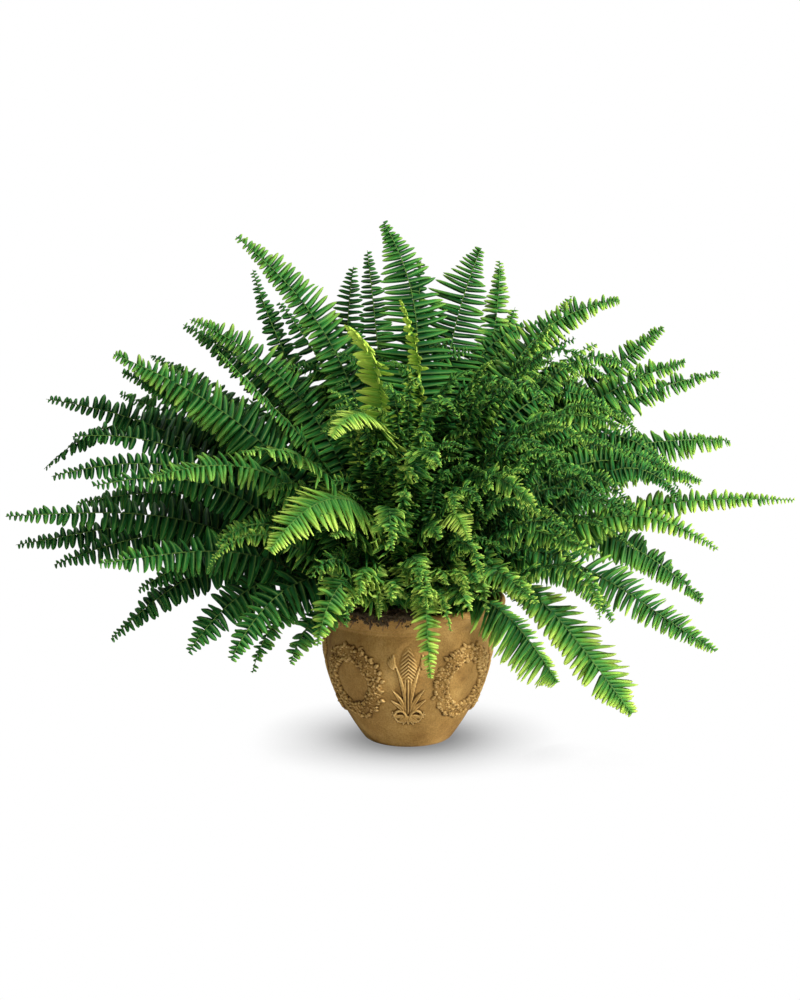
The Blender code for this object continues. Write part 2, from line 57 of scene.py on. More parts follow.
RIM_ROWS = ((0, 0.0045), (0.0003, 0.0024), (0.0012, 0.0008), (0.0028, 0), (0.0052, 0.0002), (0.0068, 0.0012))
INSIDE_ROWS, INSIDE_TOP, INSIDE_FLARE, INSIDE_CURVE = 12, 0.150, 0.026, 1.2
INSIDE_HEIGHTS, INSIDE_THICKER = (0.118, 0.106, 0.085, 0.065, 0.045, 0.028, 0.018, FLOOR), 0.0005


def body_radius(height):
    """The belly's bare outline, from the foot to the neck."""
    if height <= BELLY_HEIGHT:
        share = math.sin(math.pi / 2 * max(0, height) / BELLY_HEIGHT) ** BELLY_ROUNDING
        return FOOT_RADIUS + (BELLY_RADIUS - FOOT_RADIUS) * share
    share = (height - BELLY_HEIGHT) / (NECK_HEIGHT - BELLY_HEIGHT)
    return BELLY_RADIUS + (NECK_RADIUS - BELLY_RADIUS) * share**2


def edit_whole():
    """Goes into edit mode with everything selected."""
    bpy.ops.object.mode_set(mode="EDIT")
    bpy.ops.mesh.select_all(action="SELECT")


def weld(gap):
    """Joins points closer than the gap, turns the faces outwards and leaves edit mode."""
    bpy.ops.mesh.select_all(action="SELECT")
    bpy.ops.mesh.remove_doubles(threshold=gap)
    bpy.ops.mesh.normals_make_consistent(inside=False)
    bpy.ops.object.mode_set(mode="OBJECT")


def turn_profile(name, profile, turns):
    """Draws a profile from one vertex by extruding it, spins it about the pot's axis and closes the seam."""
    bpy.ops.object.select_all(action="DESELECT")
    bpy.ops.mesh.primitive_plane_add(size=0.001, location=(0, 0, 0))
    turned = bpy.context.object
    turned.name = turned.data.name = name
    edit_whole()
    bpy.ops.mesh.merge(type="CENTER")
    bpy.ops.transform.translate(value=(profile[0][0], 0, profile[0][1]))
    for (radius, height), (next_radius, next_height) in zip(profile, profile[1:]):
        step = (next_radius - radius, 0, next_height - height)
        bpy.ops.mesh.extrude_region_move(TRANSFORM_OT_translate={"value": step})
    bpy.ops.mesh.select_all(action="SELECT")
    bpy.ops.mesh.spin(steps=turns, angle=2 * math.pi, center=(0, 0, 0), axis=(0, 0, 1))
    weld(SEAM_GAP)
    bpy.ops.object.shade_smooth()
    return turned


outline = [(0, 0), (FOOT_RADIUS - 0.0022, 0), (FOOT_RADIUS - 0.0006, 0.0006)]
plain_heights = np.arange(FIRST_ROW, CARVED_LOW, PLAIN_ROW)
carved_heights = np.arange(CARVED_LOW, CARVED_HIGH, CARVED_ROW)
for height in (*plain_heights, *carved_heights, *LAST_ROWS):
    outline.append((body_radius(height), float(height)))
for i in range(1, FLARE_ROWS):
    share = i / FLARE_ROWS
    height = NECK_HEIGHT + (POT_HEIGHT - LIP_HEIGHT - NECK_HEIGHT) * share
    groove = GROOVE_DEPTH * math.exp(-(((height - GROOVE_HEIGHT) / GROOVE_WIDTH) ** 2))
    flare = (RIM_RADIUS - FLARE_SHORT - NECK_RADIUS) * share**FLARE_CURVE
    outline.append((NECK_RADIUS + flare - groove, height))
outline += [(RIM_RADIUS - inset, POT_HEIGHT - LIP_HEIGHT + rise) for inset, rise in LIP_ROWS]
outline += [(RIM_RADIUS - inset, POT_HEIGHT - drop) for inset, drop in (*RIM_ROWS, (WALL, 0.0030))]
for i in range(1, INSIDE_ROWS + 1):
    height = NECK_HEIGHT + (INSIDE_TOP - NECK_HEIGHT) * (1 - i / INSIDE_ROWS)
    flare = (RIM_RADIUS - NECK_RADIUS) * ((height - NECK_HEIGHT) / INSIDE_FLARE) ** INSIDE_CURVE
    outline.append((NECK_RADIUS - WALL + flare, height))
outline += [(body_radius(height) - WALL - INSIDE_THICKER, height) for height in INSIDE_HEIGHTS]
outline.append((0, FLOOR))
pot = turn_profile("pot_carved", outline, POT_TURNS)

# The relief is drawn once, for a quarter of the pot, on a map of heights that the wall then reads. Places on
# it are in metres: p runs round the belly and q runs up.
ARC = 0.084
MAP_COLUMNS, MAP_ROWS = 460, 340
WREATH_MIDDLE, WREATH_WIDTH, WREATH_TALL, WREATH_HALF = 0.0755, math.radians(20.5), 0.031, 0.27
BAND_RISE = 0.0016
PANEL, PANEL_SINK = 0.76, 0.0010
WREATH_FLOWERS, FLOWER_SIZE, FLOWER_VARIETY, FLOWER_RISE = 26, 0.0040, 0.0007, 0.0050
WREATH_KNOBS, KNOB_SIZES, KNOB_RISES = 170, (0.0012, 0.0023), (0.0028, 0.0050)
KNOB_LEAF_LENGTH, KNOB_LEAF_WIDTH = 0.0062, 0.0021
BUD_MIDDLE, BUD_TALL, BUD_WIDE, BUD_RISE, CHEVRON_PITCH = 0.0995, 0.0200, 0.0086, 0.0042, 0.0040
STEM_LOW, STEM_HIGH, STEM_FADE, STEM_WAIST, STEM_WIDE = 0.043, 0.090, 0.006, 0.064, 0.0036
STEM_RISE, FLUTE_PITCH = 0.0034, 0.0031
SIDE_REACHES = (0.054, 0.026, 0.019)
BELL_LEAVES, BELL_OUT, BELL_FOOT = 4, 0.0140, 0.095
ROSETTE_OUT, ROSETTE_HEIGHT, ROSETTE_SIZE, ROSETTE_RISE = 0.0168, 0.0430, 0.0046, 0.0052
SCROLL_OUT, SCROLL_HEIGHT, SCROLL_RADIUS, SCROLL_WIDE, SCROLL_RISE = 0.0095, 0.0415, 0.0066, 0.0017, 0.0038
SKIRT_FOOT, SKIRT_REACH, SKIRT_WIDE, SKIRT_RISE = 0.0425, 0.0125, 0.0026, 0.0044
SOFTENING_ROUNDS, SOFTENING_STEP, RELIEF_SHADE_DEPTH = 3, 3, 0.0012


def dome(x):
    """1 at the middle, rounding down to nothing at 1 each way."""
    return np.sqrt(np.clip(1 - x**2, 0, 1))


def mound(across, along, height):
    """A round-topped rise: its full height at the middle and nothing past 1 each way."""
    return height * np.sqrt(np.clip(1 - across**2 - along**2, 0, 1))


def ridges(place, pitch):
    return 0.66 + 0.34 * np.cos(2 * math.pi * place / pitch)


def between(place, low, high, fade):
    """1 between two heights, fading to nothing at each."""
    return np.clip((place - low) / fade, 0, 1) * np.clip((high - place) / fade, 0, 1)


def leaf_rise(foot, turn, length, width, height, bend=0.0):
    """A carved leaf: pointed at both ends, bent to one side, with a crease along its middle."""
    c, s = math.cos(turn), math.sin(turn)
    along = ((p - foot[0]) * c + (q - foot[1]) * s) / length
    across = (-(p - foot[0]) * s + (q - foot[1]) * c) / width
    across = across - bend * along**2 * length / width
    inside = (along > 0) & (along < 1)
    spread = np.sin(np.pi * np.clip(along, 0, 1) ** 0.8) + 1e-6
    crease = 1 - 0.35 * np.exp(-((across * width / 0.0007) ** 2))
    return np.where(inside, height * dome(across / spread) * crease, 0)


def flower_rise(middle, radius, height, petals, turn):
    """A carved flower: petals round a raised eye."""
    x, y = p - middle[0], q - middle[1]
    r = np.hypot(x, y) / radius
    petal = 0.72 + 0.28 * np.cos(petals * np.arctan2(y, x) + turn)
    ring = dome(r / petal) * (1 - 0.45 * np.exp(-(((r - 0.42) / 0.12) ** 2)))
    return height * np.maximum(ring * 0.85, dome(r / 0.34))


def carve(rise):
    """Raises the map to a shape wherever the shape is higher."""
    np.maximum(carving, rise, out=carving)


map_angle = (np.arange(MAP_COLUMNS) + 0.5) / MAP_COLUMNS * math.pi / 2 - math.pi / 4
map_height = CARVED_LOW + (np.arange(MAP_ROWS) + 0.5) / MAP_ROWS * (CARVED_HIGH - CARVED_LOW)
angle, height = np.meshgrid(map_angle, map_height)
ring = np.hypot(angle / WREATH_WIDTH, (height - WREATH_MIDDLE) / WREATH_TALL)
carving = BAND_RISE * dome((ring - 1) / WREATH_HALF)
p, q = angle * ARC, height - WREATH_MIDDLE
random_pot = np.random.default_rng(3)


def on_wreath(out, t):
    return out * WREATH_WIDTH * ARC * math.cos(t), out * WREATH_TALL * math.sin(t)


for i in range(WREATH_FLOWERS):
    t = 2 * math.pi * i / WREATH_FLOWERS
    middle = on_wreath(1 + 0.07 * math.sin(2.6 * i), t)
    carve(flower_rise(middle, FLOWER_SIZE + FLOWER_VARIETY * math.sin(3 * t + 1), FLOWER_RISE, 5, 2.1 * i))
for i in range(WREATH_KNOBS):
    t = 2 * math.pi * (i + random_pot.uniform(-0.4, 0.4)) / WREATH_KNOBS
    side = 1 if i % 2 else -1
    middle = on_wreath(1 + side * random_pot.uniform(0.13, WREATH_HALF), t)
    size, high = random_pot.uniform(*KNOB_SIZES), random_pot.uniform(*KNOB_RISES)
    if i % 3:
        carve(mound((p - middle[0]) / size, (q - middle[1]) / size, high))
    else:
        turn = t + side * random_pot.uniform(-1.2, 1.2)
        carve(leaf_rise(middle, turn, KNOB_LEAF_LENGTH, KNOB_LEAF_WIDTH, high))
carving -= PANEL_SINK * np.clip(1 - ring / PANEL, 0, 1) ** 0.3 * (ring < PANEL)
for edge in (-1, 1):
    p, q = (angle - edge * math.pi / 4) * ARC, height
    bud = (q - BUD_MIDDLE) / BUD_TALL
    across = p / (BUD_WIDE * np.clip(1 - 0.30 * bud, 0.55, 1.35))
    carve(mound(across, bud, BUD_RISE) * ridges(q + np.abs(p), CHEVRON_PITCH))
    stem = mound(p / (STEM_WIDE + 0.10 * np.abs(q - STEM_WAIST)), 0, STEM_RISE)
    carve(stem * between(q, STEM_LOW, STEM_HIGH, STEM_FADE) * ridges(p, FLUTE_PITCH))
    for side in (-1, 1):
        for k, reach in enumerate(SIDE_REACHES):
            foot = (side * (0.0030 + 0.0010 * k), 0.052 - 0.003 * k)
            turn = math.radians(90 - side * (1 + 9 * k))
            carve(leaf_rise(foot, turn, reach, 0.0021 + 0.0007 * k, 0.0034, -side * (0.20 + 0.16 * k)))
        for k in range(BELL_LEAVES):
            turn = math.radians(90 - side * (2 + 11 * k))
            carve(leaf_rise((side * BELL_OUT, BELL_FOOT), turn, 0.018 - 0.002 * k, 0.0022, 0.0032))
        carve(flower_rise((side * ROSETTE_OUT, ROSETTE_HEIGHT), ROSETTE_SIZE, ROSETTE_RISE, 6, 0))
        scroll = np.hypot(p - side * SCROLL_OUT, q - SCROLL_HEIGHT)
        carve(SCROLL_RISE * dome((scroll - SCROLL_RADIUS) / SCROLL_WIDE))
    for k in range(-3, 4):
        turn, reach = math.radians(-90 + 27 * k), SKIRT_REACH + 0.0016 * abs(k)
        carve(leaf_rise((0.001 * k, SKIRT_FOOT), turn, reach, SKIRT_WIDE, SKIRT_RISE))
carving *= between(height, CARVED_LOW, CARVED_HIGH, CARVED_FADE)
# Painted shade and light: how far each place lies below the softened carving, high in the recesses beside the
# relief and below nought on the raised parts, which the clay's colour turns darker and lighter.
softened = carving.copy()
for _ in range(SOFTENING_ROUNDS):
    total = softened
    for axis in (1, 0):
        for step in (SOFTENING_STEP, -SOFTENING_STEP):
            total = total + np.roll(softened, step, axis)
    softened = total / 5
relief_shade_map = np.clip((softened - carving) / RELIEF_SHADE_DEPTH, -1, 1)

places = np.empty(len(pot.data.vertices) * 3)
pot.data.vertices.foreach_get("co", places)
places = places.reshape(-1, 3)
radius = np.hypot(places[:, 0], places[:, 1])
bare = np.array([body_radius(z) for z in places[:, 2]])
carved = (radius > bare - WALL / 2) & (places[:, 2] > CARVED_LOW) & (places[:, 2] < CARVED_HIGH)
quarter = math.pi / 2
around = (np.arctan2(places[:, 1], places[:, 0]) % quarter) / quarter * MAP_COLUMNS - 0.5
up = (places[:, 2] - CARVED_LOW) / (CARVED_HIGH - CARVED_LOW) * MAP_ROWS - 0.5
column, row = np.floor(around).astype(int), np.clip(np.floor(up), 0, MAP_ROWS - 2).astype(int)
a, b = around - column, np.clip(up - row, 0, 1)


def read_map(values):
    """The map's value at each point of the wall, and nothing where the wall isn't carved."""
    left, right = column % MAP_COLUMNS, (column + 1) % MAP_COLUMNS
    low = values[row, left] * (1 - a) + values[row, right] * a
    high = values[row + 1, left] * (1 - a) + values[row + 1, right] * a
    return np.where(carved, low * (1 - b) + high * b, 0)


places[:, :2] *= (1 + read_map(carving) / np.maximum(radius, 0.01))[:, None]
pot.data.vertices.foreach_set("co", places.ravel())
painted_relief_shade = pot.data.attributes.new("painted_relief_shade", "FLOAT", "POINT")
painted_relief_shade.data.foreach_set("value", read_map(relief_shade_map).astype(np.float32))
pot.data.update()

# The clay's colour: its own blotches and speckle, with painted shade in the recesses of the carving and painted
# light on its raised parts.
GRIT_FINENESS, RELIEF_SHADE_STRENGTH = 22.0, 0.56
CLAY_STOPS = (
    (0.00, (0.640, 0.430, 0.160)),
    (0.40, (0.410, 0.245, 0.070)),
    (0.60, (0.290, 0.160, 0.040)),
    (0.80, (0.120, 0.060, 0.014)),
    (1.00, (0.040, 0.018, 0.005)),
)


def new_material(name, roughness, specular=0.5):
    """A new material, with its node tree and its Principled shader."""
    made = bpy.data.materials.new(name)
    made.use_nodes = True
    shader = made.node_tree.nodes["Principled BSDF"]
    shader.inputs["Roughness"].default_value = roughness
    shader.inputs["Specular IOR Level"].default_value = specular
    return made, made.node_tree, shader


def feed(tree, entry, value):
    """Joins another node's output to an entry, or sets the entry to a plain value."""
    if isinstance(value, bpy.types.NodeSocket):
        tree.links.new(value, entry)
    else:
        entry.default_value = value


def add_node(tree, kind, **settings):
    """A new node. Each setting is one of its entries, or else one of its own options."""
    node = tree.nodes.new(kind)
    for key, value in settings.items():
        if key in node.inputs:
            feed(tree, node.inputs[key], value)
        else:
            setattr(node, key, value)
    return node


def maths(tree, operation, *values):
    """One step of arithmetic on plain values or other nodes' outputs."""
    node = add_node(tree, "ShaderNodeMath", operation=operation)
    for entry, value in zip(node.inputs, values):
        feed(tree, entry, value)
    return node.outputs["Value"]


def attribute(tree, name):
    return add_node(tree, "ShaderNodeAttribute", attribute_name=name).outputs["Fac"]


def colour_ramp(tree, stops, factor):
    """A ramp of colours by share, fed by a value."""
    ramp = add_node(tree, "ShaderNodeValToRGB", Fac=factor)
    elements = ramp.color_ramp.elements
    for (share, colour), element in zip((stops[0], stops[-1]), (elements[0], elements[-1])):
        element.position, element.color = share, (*colour, 1)
    for share, colour in stops[1:-1]:
        elements.new(share).color = (*colour, 1)
    return ramp.outputs["Color"]


def mix_colours(tree, blend, share, under, over):
    node = add_node(tree, "ShaderNodeMix", data_type="RGBA", blend_type=blend, Factor=share)
    feed(tree, node.inputs[6], under)
    feed(tree, node.inputs[7], over)
    return node.outputs[2]


def cover(tree, shader, colour, height, strength, distance):
    """Gives the shader its colour, and a bump from a mask of heights."""
    feed(tree, shader.inputs["Base Color"], colour)
    bump = add_node(tree, "ShaderNodeBump", Strength=strength, Distance=distance, Height=height)
    feed(tree, shader.inputs["Normal"], bump.outputs["Normal"])


def give_out(group, **masks):
    """Sends each value out of a node group under its own name."""
    for name in masks:
        group.interface.new_socket(name, in_out="OUTPUT", socket_type="NodeSocketFloat")
    end = group.nodes.new("NodeGroupOutput")
    for name, value in masks.items():
        feed(group, end.inputs[name], value)


grain_group = bpy.data.node_groups.new("earthy_grain", "ShaderNodeTree")
grain_group.interface.new_socket("Scale", in_out="INPUT", socket_type="NodeSocketFloat")
coarse = grain_group.nodes.new("NodeGroupInput").outputs["Scale"]
fine = maths(grain_group, "MULTIPLY", coarse, GRIT_FINENESS)
place = grain_group.nodes.new("ShaderNodeTexCoord").outputs["Object"]
blotch = add_node(grain_group, "ShaderNodeTexNoise", Vector=place, Scale=coarse, Detail=6.0, Roughness=0.62)
grit = add_node(grain_group, "ShaderNodeTexNoise", Vector=place, Scale=fine, Detail=4.0, Roughness=0.7)
give_out(grain_group, Blotches=blotch.outputs["Fac"], Grit=grit.outputs["Fac"])


def add_grain(tree, scale):
    """The grain's two masks: broad blotches and fine grit."""
    node = add_node(tree, "ShaderNodeGroup", node_tree=grain_group, Scale=scale)
    return node.outputs["Blotches"], node.outputs["Grit"]


stoneware, tree, shader = new_material("matte_stoneware", 0.82, 0.20)
blotches, grit = add_grain(tree, 26.0)
# Painted shade darkens the carving's recesses, and painted light lightens its raised parts.
darker = maths(tree, "MULTIPLY_ADD", attribute(tree, "painted_relief_shade"), RELIEF_SHADE_STRENGTH, blotches)
clay = colour_ramp(tree, CLAY_STOPS, darker)
speckle = colour_ramp(tree, ((0.35, (0.72,) * 3), (0.62, (1.08,) * 3)), grit)
cover(tree, shader, mix_colours(tree, "MULTIPLY", 1.0, clay, speckle), grit, 0.40, 0.0006)
pot.data.materials.append(stoneware)
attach(pot, "root")
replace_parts(pot, "pot")

# Soil: dark peat that fills the pot in a low mound, with crumbs and chips of bark worked into it. It is
# turned to the pot's inside, then roughened; the crumbs and chips are modelled once each and strewn.
SOIL_EDGE_RADIUS, SOIL_EDGE_HEIGHT, SOIL_MOUND = 0.0860, 0.142, 0.008
CROWN_FIELD = 0.074
SOIL_TURNS, SOIL_ROWS = 160, 60
SOIL_UNDER = ((0.0815, 0.136), (0.0755, 0.129), (0.0750, 0.118), (0.0770, 0.106), (0.0, 0.106))
LUMPS_PER_METRE, LUMP_SINK, LUMP_RISE = 90, 0.0012, 0.0016
CRUMBS, CHIPS, CHIP_LIFT = 900, 230, 0.0008
RIM_CRUMBS, OUTSIDE_EVERY, RIM_FIBRES, FIBRES_OVER = 900, 4, 150, 0.35
FULL_TURN = 2 * math.pi
random_soil = np.random.default_rng(11)
draw = random_soil.uniform


def soil_height(radius):
    return SOIL_EDGE_HEIGHT + SOIL_MOUND * max(0, 1 - (radius / CROWN_FIELD) ** 2)


def soil_surface(x, y):
    """The height of the roughened mound at a place."""
    rough = noise.fractal((x * LUMPS_PER_METRE, y * LUMPS_PER_METRE, 0.3), 0.9, 2.1, 4)
    return soil_height(math.hypot(x, y)) - LUMP_SINK + LUMP_RISE * rough


soil_rows = [(SOIL_EDGE_RADIUS * i / SOIL_ROWS, SOIL_EDGE_HEIGHT) for i in range(SOIL_ROWS + 1)]
soil = turn_profile("soil_bed", [*soil_rows, *SOIL_UNDER], SOIL_TURNS)
for vertex in soil.data.vertices:
    if vertex.co.z > SOIL_EDGE_HEIGHT - 0.001:
        vertex.co.z = soil_surface(vertex.co.x, vertex.co.y)


def put(name, data):
    """Makes a new object of a mesh, light or camera and places it in the scene."""
    made = bpy.data.objects.new(name, data)
    bpy.context.scene.collection.objects.link(made)
    return made


def merged_copies(name, model, transforms):
    """One mesh of many copies of a small model, each at its own place."""
    points = np.array([v.co for v in model.vertices])
    faces = [tuple(f.vertices) for f in model.polygons]
    vertices, all_faces = [], []
    for transform in transforms:
        matrix = np.array(transform)
        start = len(vertices) * len(points)
        vertices.append(points @ matrix[:3, :3].T + matrix[:3, 3])
        all_faces += [tuple(i + start for i in face) for face in faces]
    mesh = bpy.data.meshes.new(name)
    mesh.from_pydata(np.concatenate(vertices).tolist(), [], all_faces)
    return put(name, mesh)


def strewn(count, low, high, flat, lift=0.0):
    """Places for bits on the soil: random spots, turns and sizes."""
    found = []
    for _ in range(count):
        radius = (SOIL_EDGE_RADIUS - 0.002) * math.sqrt(draw(0, 1))
        heading = draw(0, FULL_TURN)
        x, y = radius * math.cos(heading), radius * math.sin(heading)
        tilted = Matrix.Rotation(draw(-flat, flat), 4, "X")
        leaned = Matrix.Rotation(draw(-flat, flat), 4, "Y")
        turned = Matrix.Rotation(draw(0, FULL_TURN), 4, "Z")
        size = Matrix.Scale(draw(low, high), 4)
        found.append(Matrix.Translation((x, y, soil_surface(x, y) + lift)) @ turned @ tilted @ leaned @ size)
    return found


def set_down(heading, radius, level, turn, steep, size):
    """A place on the rim for one bit, turned, tilted and sized."""
    spot = Matrix.Translation((radius * math.cos(heading), radius * math.sin(heading), level))
    turned = Matrix.Rotation(turn, 4, "Z") @ Matrix.Rotation(steep, 4, "Y")
    return spot @ turned @ Matrix.Scale(size, 4)


bpy.ops.object.select_all(action="DESELECT")
bpy.ops.mesh.primitive_ico_sphere_add(subdivisions=2, radius=0.5, location=(0, 0, 0))
crumb = bpy.context.object
for vertex in crumb.data.vertices:
    vertex.co *= 1 + 0.35 * noise.noise(vertex.co * 3.1)
crumb_model = crumb.data
soil_crumbs = merged_copies("soil_crumbs", crumb_model, strewn(CRUMBS, 0.0012, 0.0040, 3.0))
bpy.data.objects.remove(crumb)

bpy.ops.mesh.primitive_cube_add(size=1, location=(0, 0, 0))
chip = bpy.context.object
chip.scale = (1.0, 0.34, 0.16)
bpy.ops.object.transform_apply(location=False, rotation=False, scale=True)
edit_whole()
bpy.ops.mesh.subdivide(number_cuts=1)
bpy.ops.object.mode_set(mode="OBJECT")
for vertex in chip.data.vertices:
    vertex.co.y *= 1 - 0.45 * abs(vertex.co.x) * 2 * (0.6 + 0.4 * noise.noise(vertex.co * 5))
    vertex.co.z += 0.12 * vertex.co.x * abs(vertex.co.x) + 0.05 * noise.noise(vertex.co * 7)
soil_bark = merged_copies("soil_bark", chip.data, strewn(CHIPS, 0.004, 0.013, 0.45, CHIP_LIFT))

fibre = chip.data.copy()
for vertex in fibre.vertices:
    vertex.co.y *= 0.35
    vertex.co.z = vertex.co.z * 0.6 + 0.25 * vertex.co.x**2
heap, fibres = [], []
for i in range(RIM_CRUMBS):
    heading = math.radians(draw(-158, -88))
    if i % OUTSIDE_EVERY:
        radius = draw(0.084, 0.1035)
        level = 0.152 + 0.008 * random_soil.random() * math.sin((radius - 0.084) / 0.0195 * math.pi)
    else:
        radius = draw(0.1034, 0.1054)
        level = 0.156 - 0.011 * random_soil.random() ** 2
    heap.append(set_down(heading, radius, level, draw(0, FULL_TURN), draw(-1.4, 1.4), draw(0.0015, 0.0045)))
for i in range(RIM_FIBRES):
    heading = math.radians(draw(-156, -90))
    over = random_soil.random() < FIBRES_OVER
    radius = draw(0.1036, 0.1052) if over else draw(0.090, 0.103)
    level = draw(0.143, 0.154) if over else draw(0.154, 0.160)
    steep = draw(1.0, 2.1) if over else draw(-0.5, 0.5)
    fibres.append(set_down(heading, radius, level, draw(0, FULL_TURN), steep, draw(0.004, 0.011)))
rim_crumbs = merged_copies("rim_crumbs", crumb_model, heap)
rim_fibres = merged_copies("rim_fibres", fibre, fibres)
bpy.data.objects.remove(chip)

PEAT_STOPS = ((0.30, (0.018, 0.010, 0.003)), (0.55, (0.070, 0.042, 0.012)), (0.78, (0.19, 0.115, 0.034)))
BARK_STOPS = ((0.30, (0.035, 0.018, 0.008)), (0.55, (0.12, 0.062, 0.028)), (0.75, (0.24, 0.14, 0.07)))
peat, tree, shader = new_material("damp_peat", 0.92)
_, grit = add_grain(tree, 60.0)
cover(tree, shader, colour_ramp(tree, PEAT_STOPS, grit), grit, 0.9, 0.002)
bark, tree, shader = new_material("bark_chip", 0.8)
blotches, grit = add_grain(tree, 45.0)
cover(tree, shader, colour_ramp(tree, BARK_STOPS, blotches), grit, 0.6, 0.001)

soil_pieces = ((soil, peat), (soil_crumbs, peat), (soil_bark, bark), (rim_crumbs, peat), (rim_fibres, bark))
for piece, finish in soil_pieces:
    piece.data.materials.append(finish)
    piece.data.shade_smooth()
    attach(piece, "root")
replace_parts(soil, "soil")

# Fronds: each tuft is a short scaly crown with one or two arching fronds. A frond is a wiry rib, bare and
# brown at its foot, with leaflets by turns on its two sides. They are long in the middle and tiny at the tip.
CROWN_SPOTS = 80
INNERMOST, OUTERMOST, OUTERMOST_LEAN = 0.08, 0.95, 45
CROWN_BELOW = 0.008
CROWN_ABOVE = 0.004
ROOT_PULL, TIP_PULL, ARCH_PULL = 0.42, 0.34, 0.45
SWAY, SWAY_WAVES = 0.03, 5
STALK_SHARE = 0.16
LEAFLET_THICK = 0.0006
LEAFLET_DROOP = math.radians(14)
SIBLING_SPREAD = 0.0024
SWELL_FOOT, SWELL_RATE = 0.62, 1.6
TAPER_FROM, TAPER, TAPER_CURVE = 0.25, 0.82, 0.8
TURNS = (0, 3, -3, 6, -6, 9, -9, 12, -12, 16, -16, 20, -20)
LIFTS = (0, 2, -2, 4, -4, 6, -6, 9, -9, 12, -12)
ROLLS = (0, 10, -10, 20, -20, 30, -30)
TURN_WEIGHT, LIFT_WEIGHT, ROLL_WEIGHT = 0.6, 1.4, 0.25
FACING, FACING_VARIETY, FACING_WAVES, FAR_SIDE = 54, 8, 11, 0.18
STEEP = 66
YOUNG_SHARE, YOUNG_TURN, YOUNG_DROP, YOUNG_HEIGHT, YOUNG_BREADTH = 0.66, 26, 14, 0.8, 0.85
BACK_STAGGER, BACK_VARIETY = 0.45, 0.035
UP = Vector((0, 0, 1))

Frond = collections.namedtuple("Frond", "tip launch finish breadth")

# Side, and for each frond x, y and z of its tip in mm, its launch and finish in degrees, its breadth in mm.
TUFTS = (
    ("front", (-135, -210, 245, 80, -42, 40)),
    ("front", (-75, -200, 355, 84, -28, 34)),
    ("front", (227, -135, 62, 58, -48, 44)),
    ("front", (147, -205, 112, 42, -36, 37)),
    ("front", (22, -165, 105, 74, -80, 28)),
    ("left", (-420, -40, 248, 42, -2, 31), (-320, -100, 290, 56, -10, 31)),
    ("right", (408, -10, 260, 44, -2, 28), (320, -70, 218, 50, -36, 31)),
    ("left", (-180, 20, 535, 84, 38, 35), (-230, 20, 448, 72, 22, 32)),
    ("left", (-385, 30, 362, 54, 8, 31), (-352, -5, 329, 50, -4, 31)),
    ("right", (307, -165, 134, 60, -26, 34)),
    ("right", (321, 20, 141, 62, -46, 36), (216, -35, 134, 58, -62, 23)),
    ("right", (220, -120, 350, 74, -22, 35)),
    ("top", (-26, 20, 550, 88, 52, 36)),
    ("top", (78, 60, 520, 78, 61, 40)),
    ("right", (270, 50, 438, 62, 38, 34), (290, -10, 406, 58, 14, 34)),
    ("right", (220, -10, 471, 70, 8, 34)),
    ("right", (340, 90, 383, 58, 8, 31)),
    ("right", (363, 165, 297, 60, -6, 33), (308, -30, 281, 58, -24, 25)),
    ("left", (-305, -30, 417, 62, 24, 40), (-193, -95, 429, 80, 46, 21)),
    ("left", (-371, -35, 292, 54, -14, 31), (-399, 95, 276, 70, -44, 31)),
    ("front", (-65, -110, 450, 80, 18, 34)),
    ("front", (145, -90, 455, 80, 48, 40)),
    ("left", (-315, -20, 112, 52, -44, 31), (-285, -20, 165, 58, -34, 29)),
    ("left", (-230, -80, 114, 54, -54, 34)),
    ("left", (-180, -125, 115, 56, -62, 34)),
    ("left", (-121, -105, 106, 54, -70, 29), (-160, -100, 95, 60, -78, 23)),
    ("left", (-315, -110, 212, 46, -4, 32)),
    ("left", (-379, 15, 185, 40, -22, 31), (-425, 50, 200, 46, -10, 29)),
    ("top", (-44, 100, 515, 84, 74, 27), (-60, 60, 500, 68, 108, 30)),
    ("top", (100, 120, 502, 78, 84, 27), (120, 170, 447, 68, 54, 29)),
    ("top", (14, 85, 505, 80, 82, 32)),
    ("top", (-168, 100, 494, 76, 70, 25), (-139, 85, 460, 80, 44, 31)),
    ("left", (-300, 10, 396, 70, 24, 31), (-296, 110, 371, 62, 16, 29)),
    ("left", (-318, 130, 354, 56, 14, 30), (-278, 145, 397, 64, 22, 26)),
    ("right", (180, 120, 464, 70, 44, 27), (210, 150, 408, 62, 14, 29)),
    ("left", (-165, -160, 335, 72, -2, 32)),
    ("left", (-260, -150, 306, 70, -12, 31)),
    ("front", (30, -215, 330, 84, -16, 34)),
    ("front", (190, -180, 235, 70, -12, 31)),
    ("front", (-25, -210, 245, 70, -62, 29)),
    ("front", (125, -225, 285, 82, -22, 28)),
    ("front", (-15, -60, 475, 86, 62, 27)),
    ("front", (126, -190, 195, 72, -16, 31)),
    ("front", (-90, -190, 145, 58, -72, 31)),
    ("front", (62, -155, 174, 58, -32, 28)),
)
BACK_RINGS = (
    ("low", 5, 28, 31, (0.305, 0.115, 52, -44, 0.032), (0.350, 0.215, 50, -14, 0.031)),
    ("high", 5, 40, 26, (0.345, 0.300, 58, -8, 0.032), (0.270, 0.400, 68, 20, 0.031)),
)


def listed_frond(x, y, z, launch, finish, breadth):
    """A frond from its row in the list, with the lengths in metres."""
    return Frond((x / 1000, y / 1000, z / 1000), launch, finish, breadth / 1000)


back_tufts = []
for ring_name, ring_count, first, spacing, lower, upper in BACK_RINGS:
    for i in range(ring_count):
        fronds = []
        for k, (reach, height, launch, finish, breadth) in enumerate((lower, upper)):
            heading = math.radians(first + spacing * (i + BACK_STAGGER * k))
            wave = math.sin(2.4 * i + 1.7 * k + first)
            far = reach * (1 + 2 * BACK_VARIETY * wave)
            high = height + BACK_VARIETY * math.cos(3.1 * i + k)
            fronds.append(Frond((far * math.cos(heading), far * math.sin(heading), high), launch, finish, breadth))
        back_tufts.append((f"back_{ring_name}", *fronds))
tufts = [(side, *(listed_frond(*row) for row in rows)) for side, *rows in TUFTS] + back_tufts

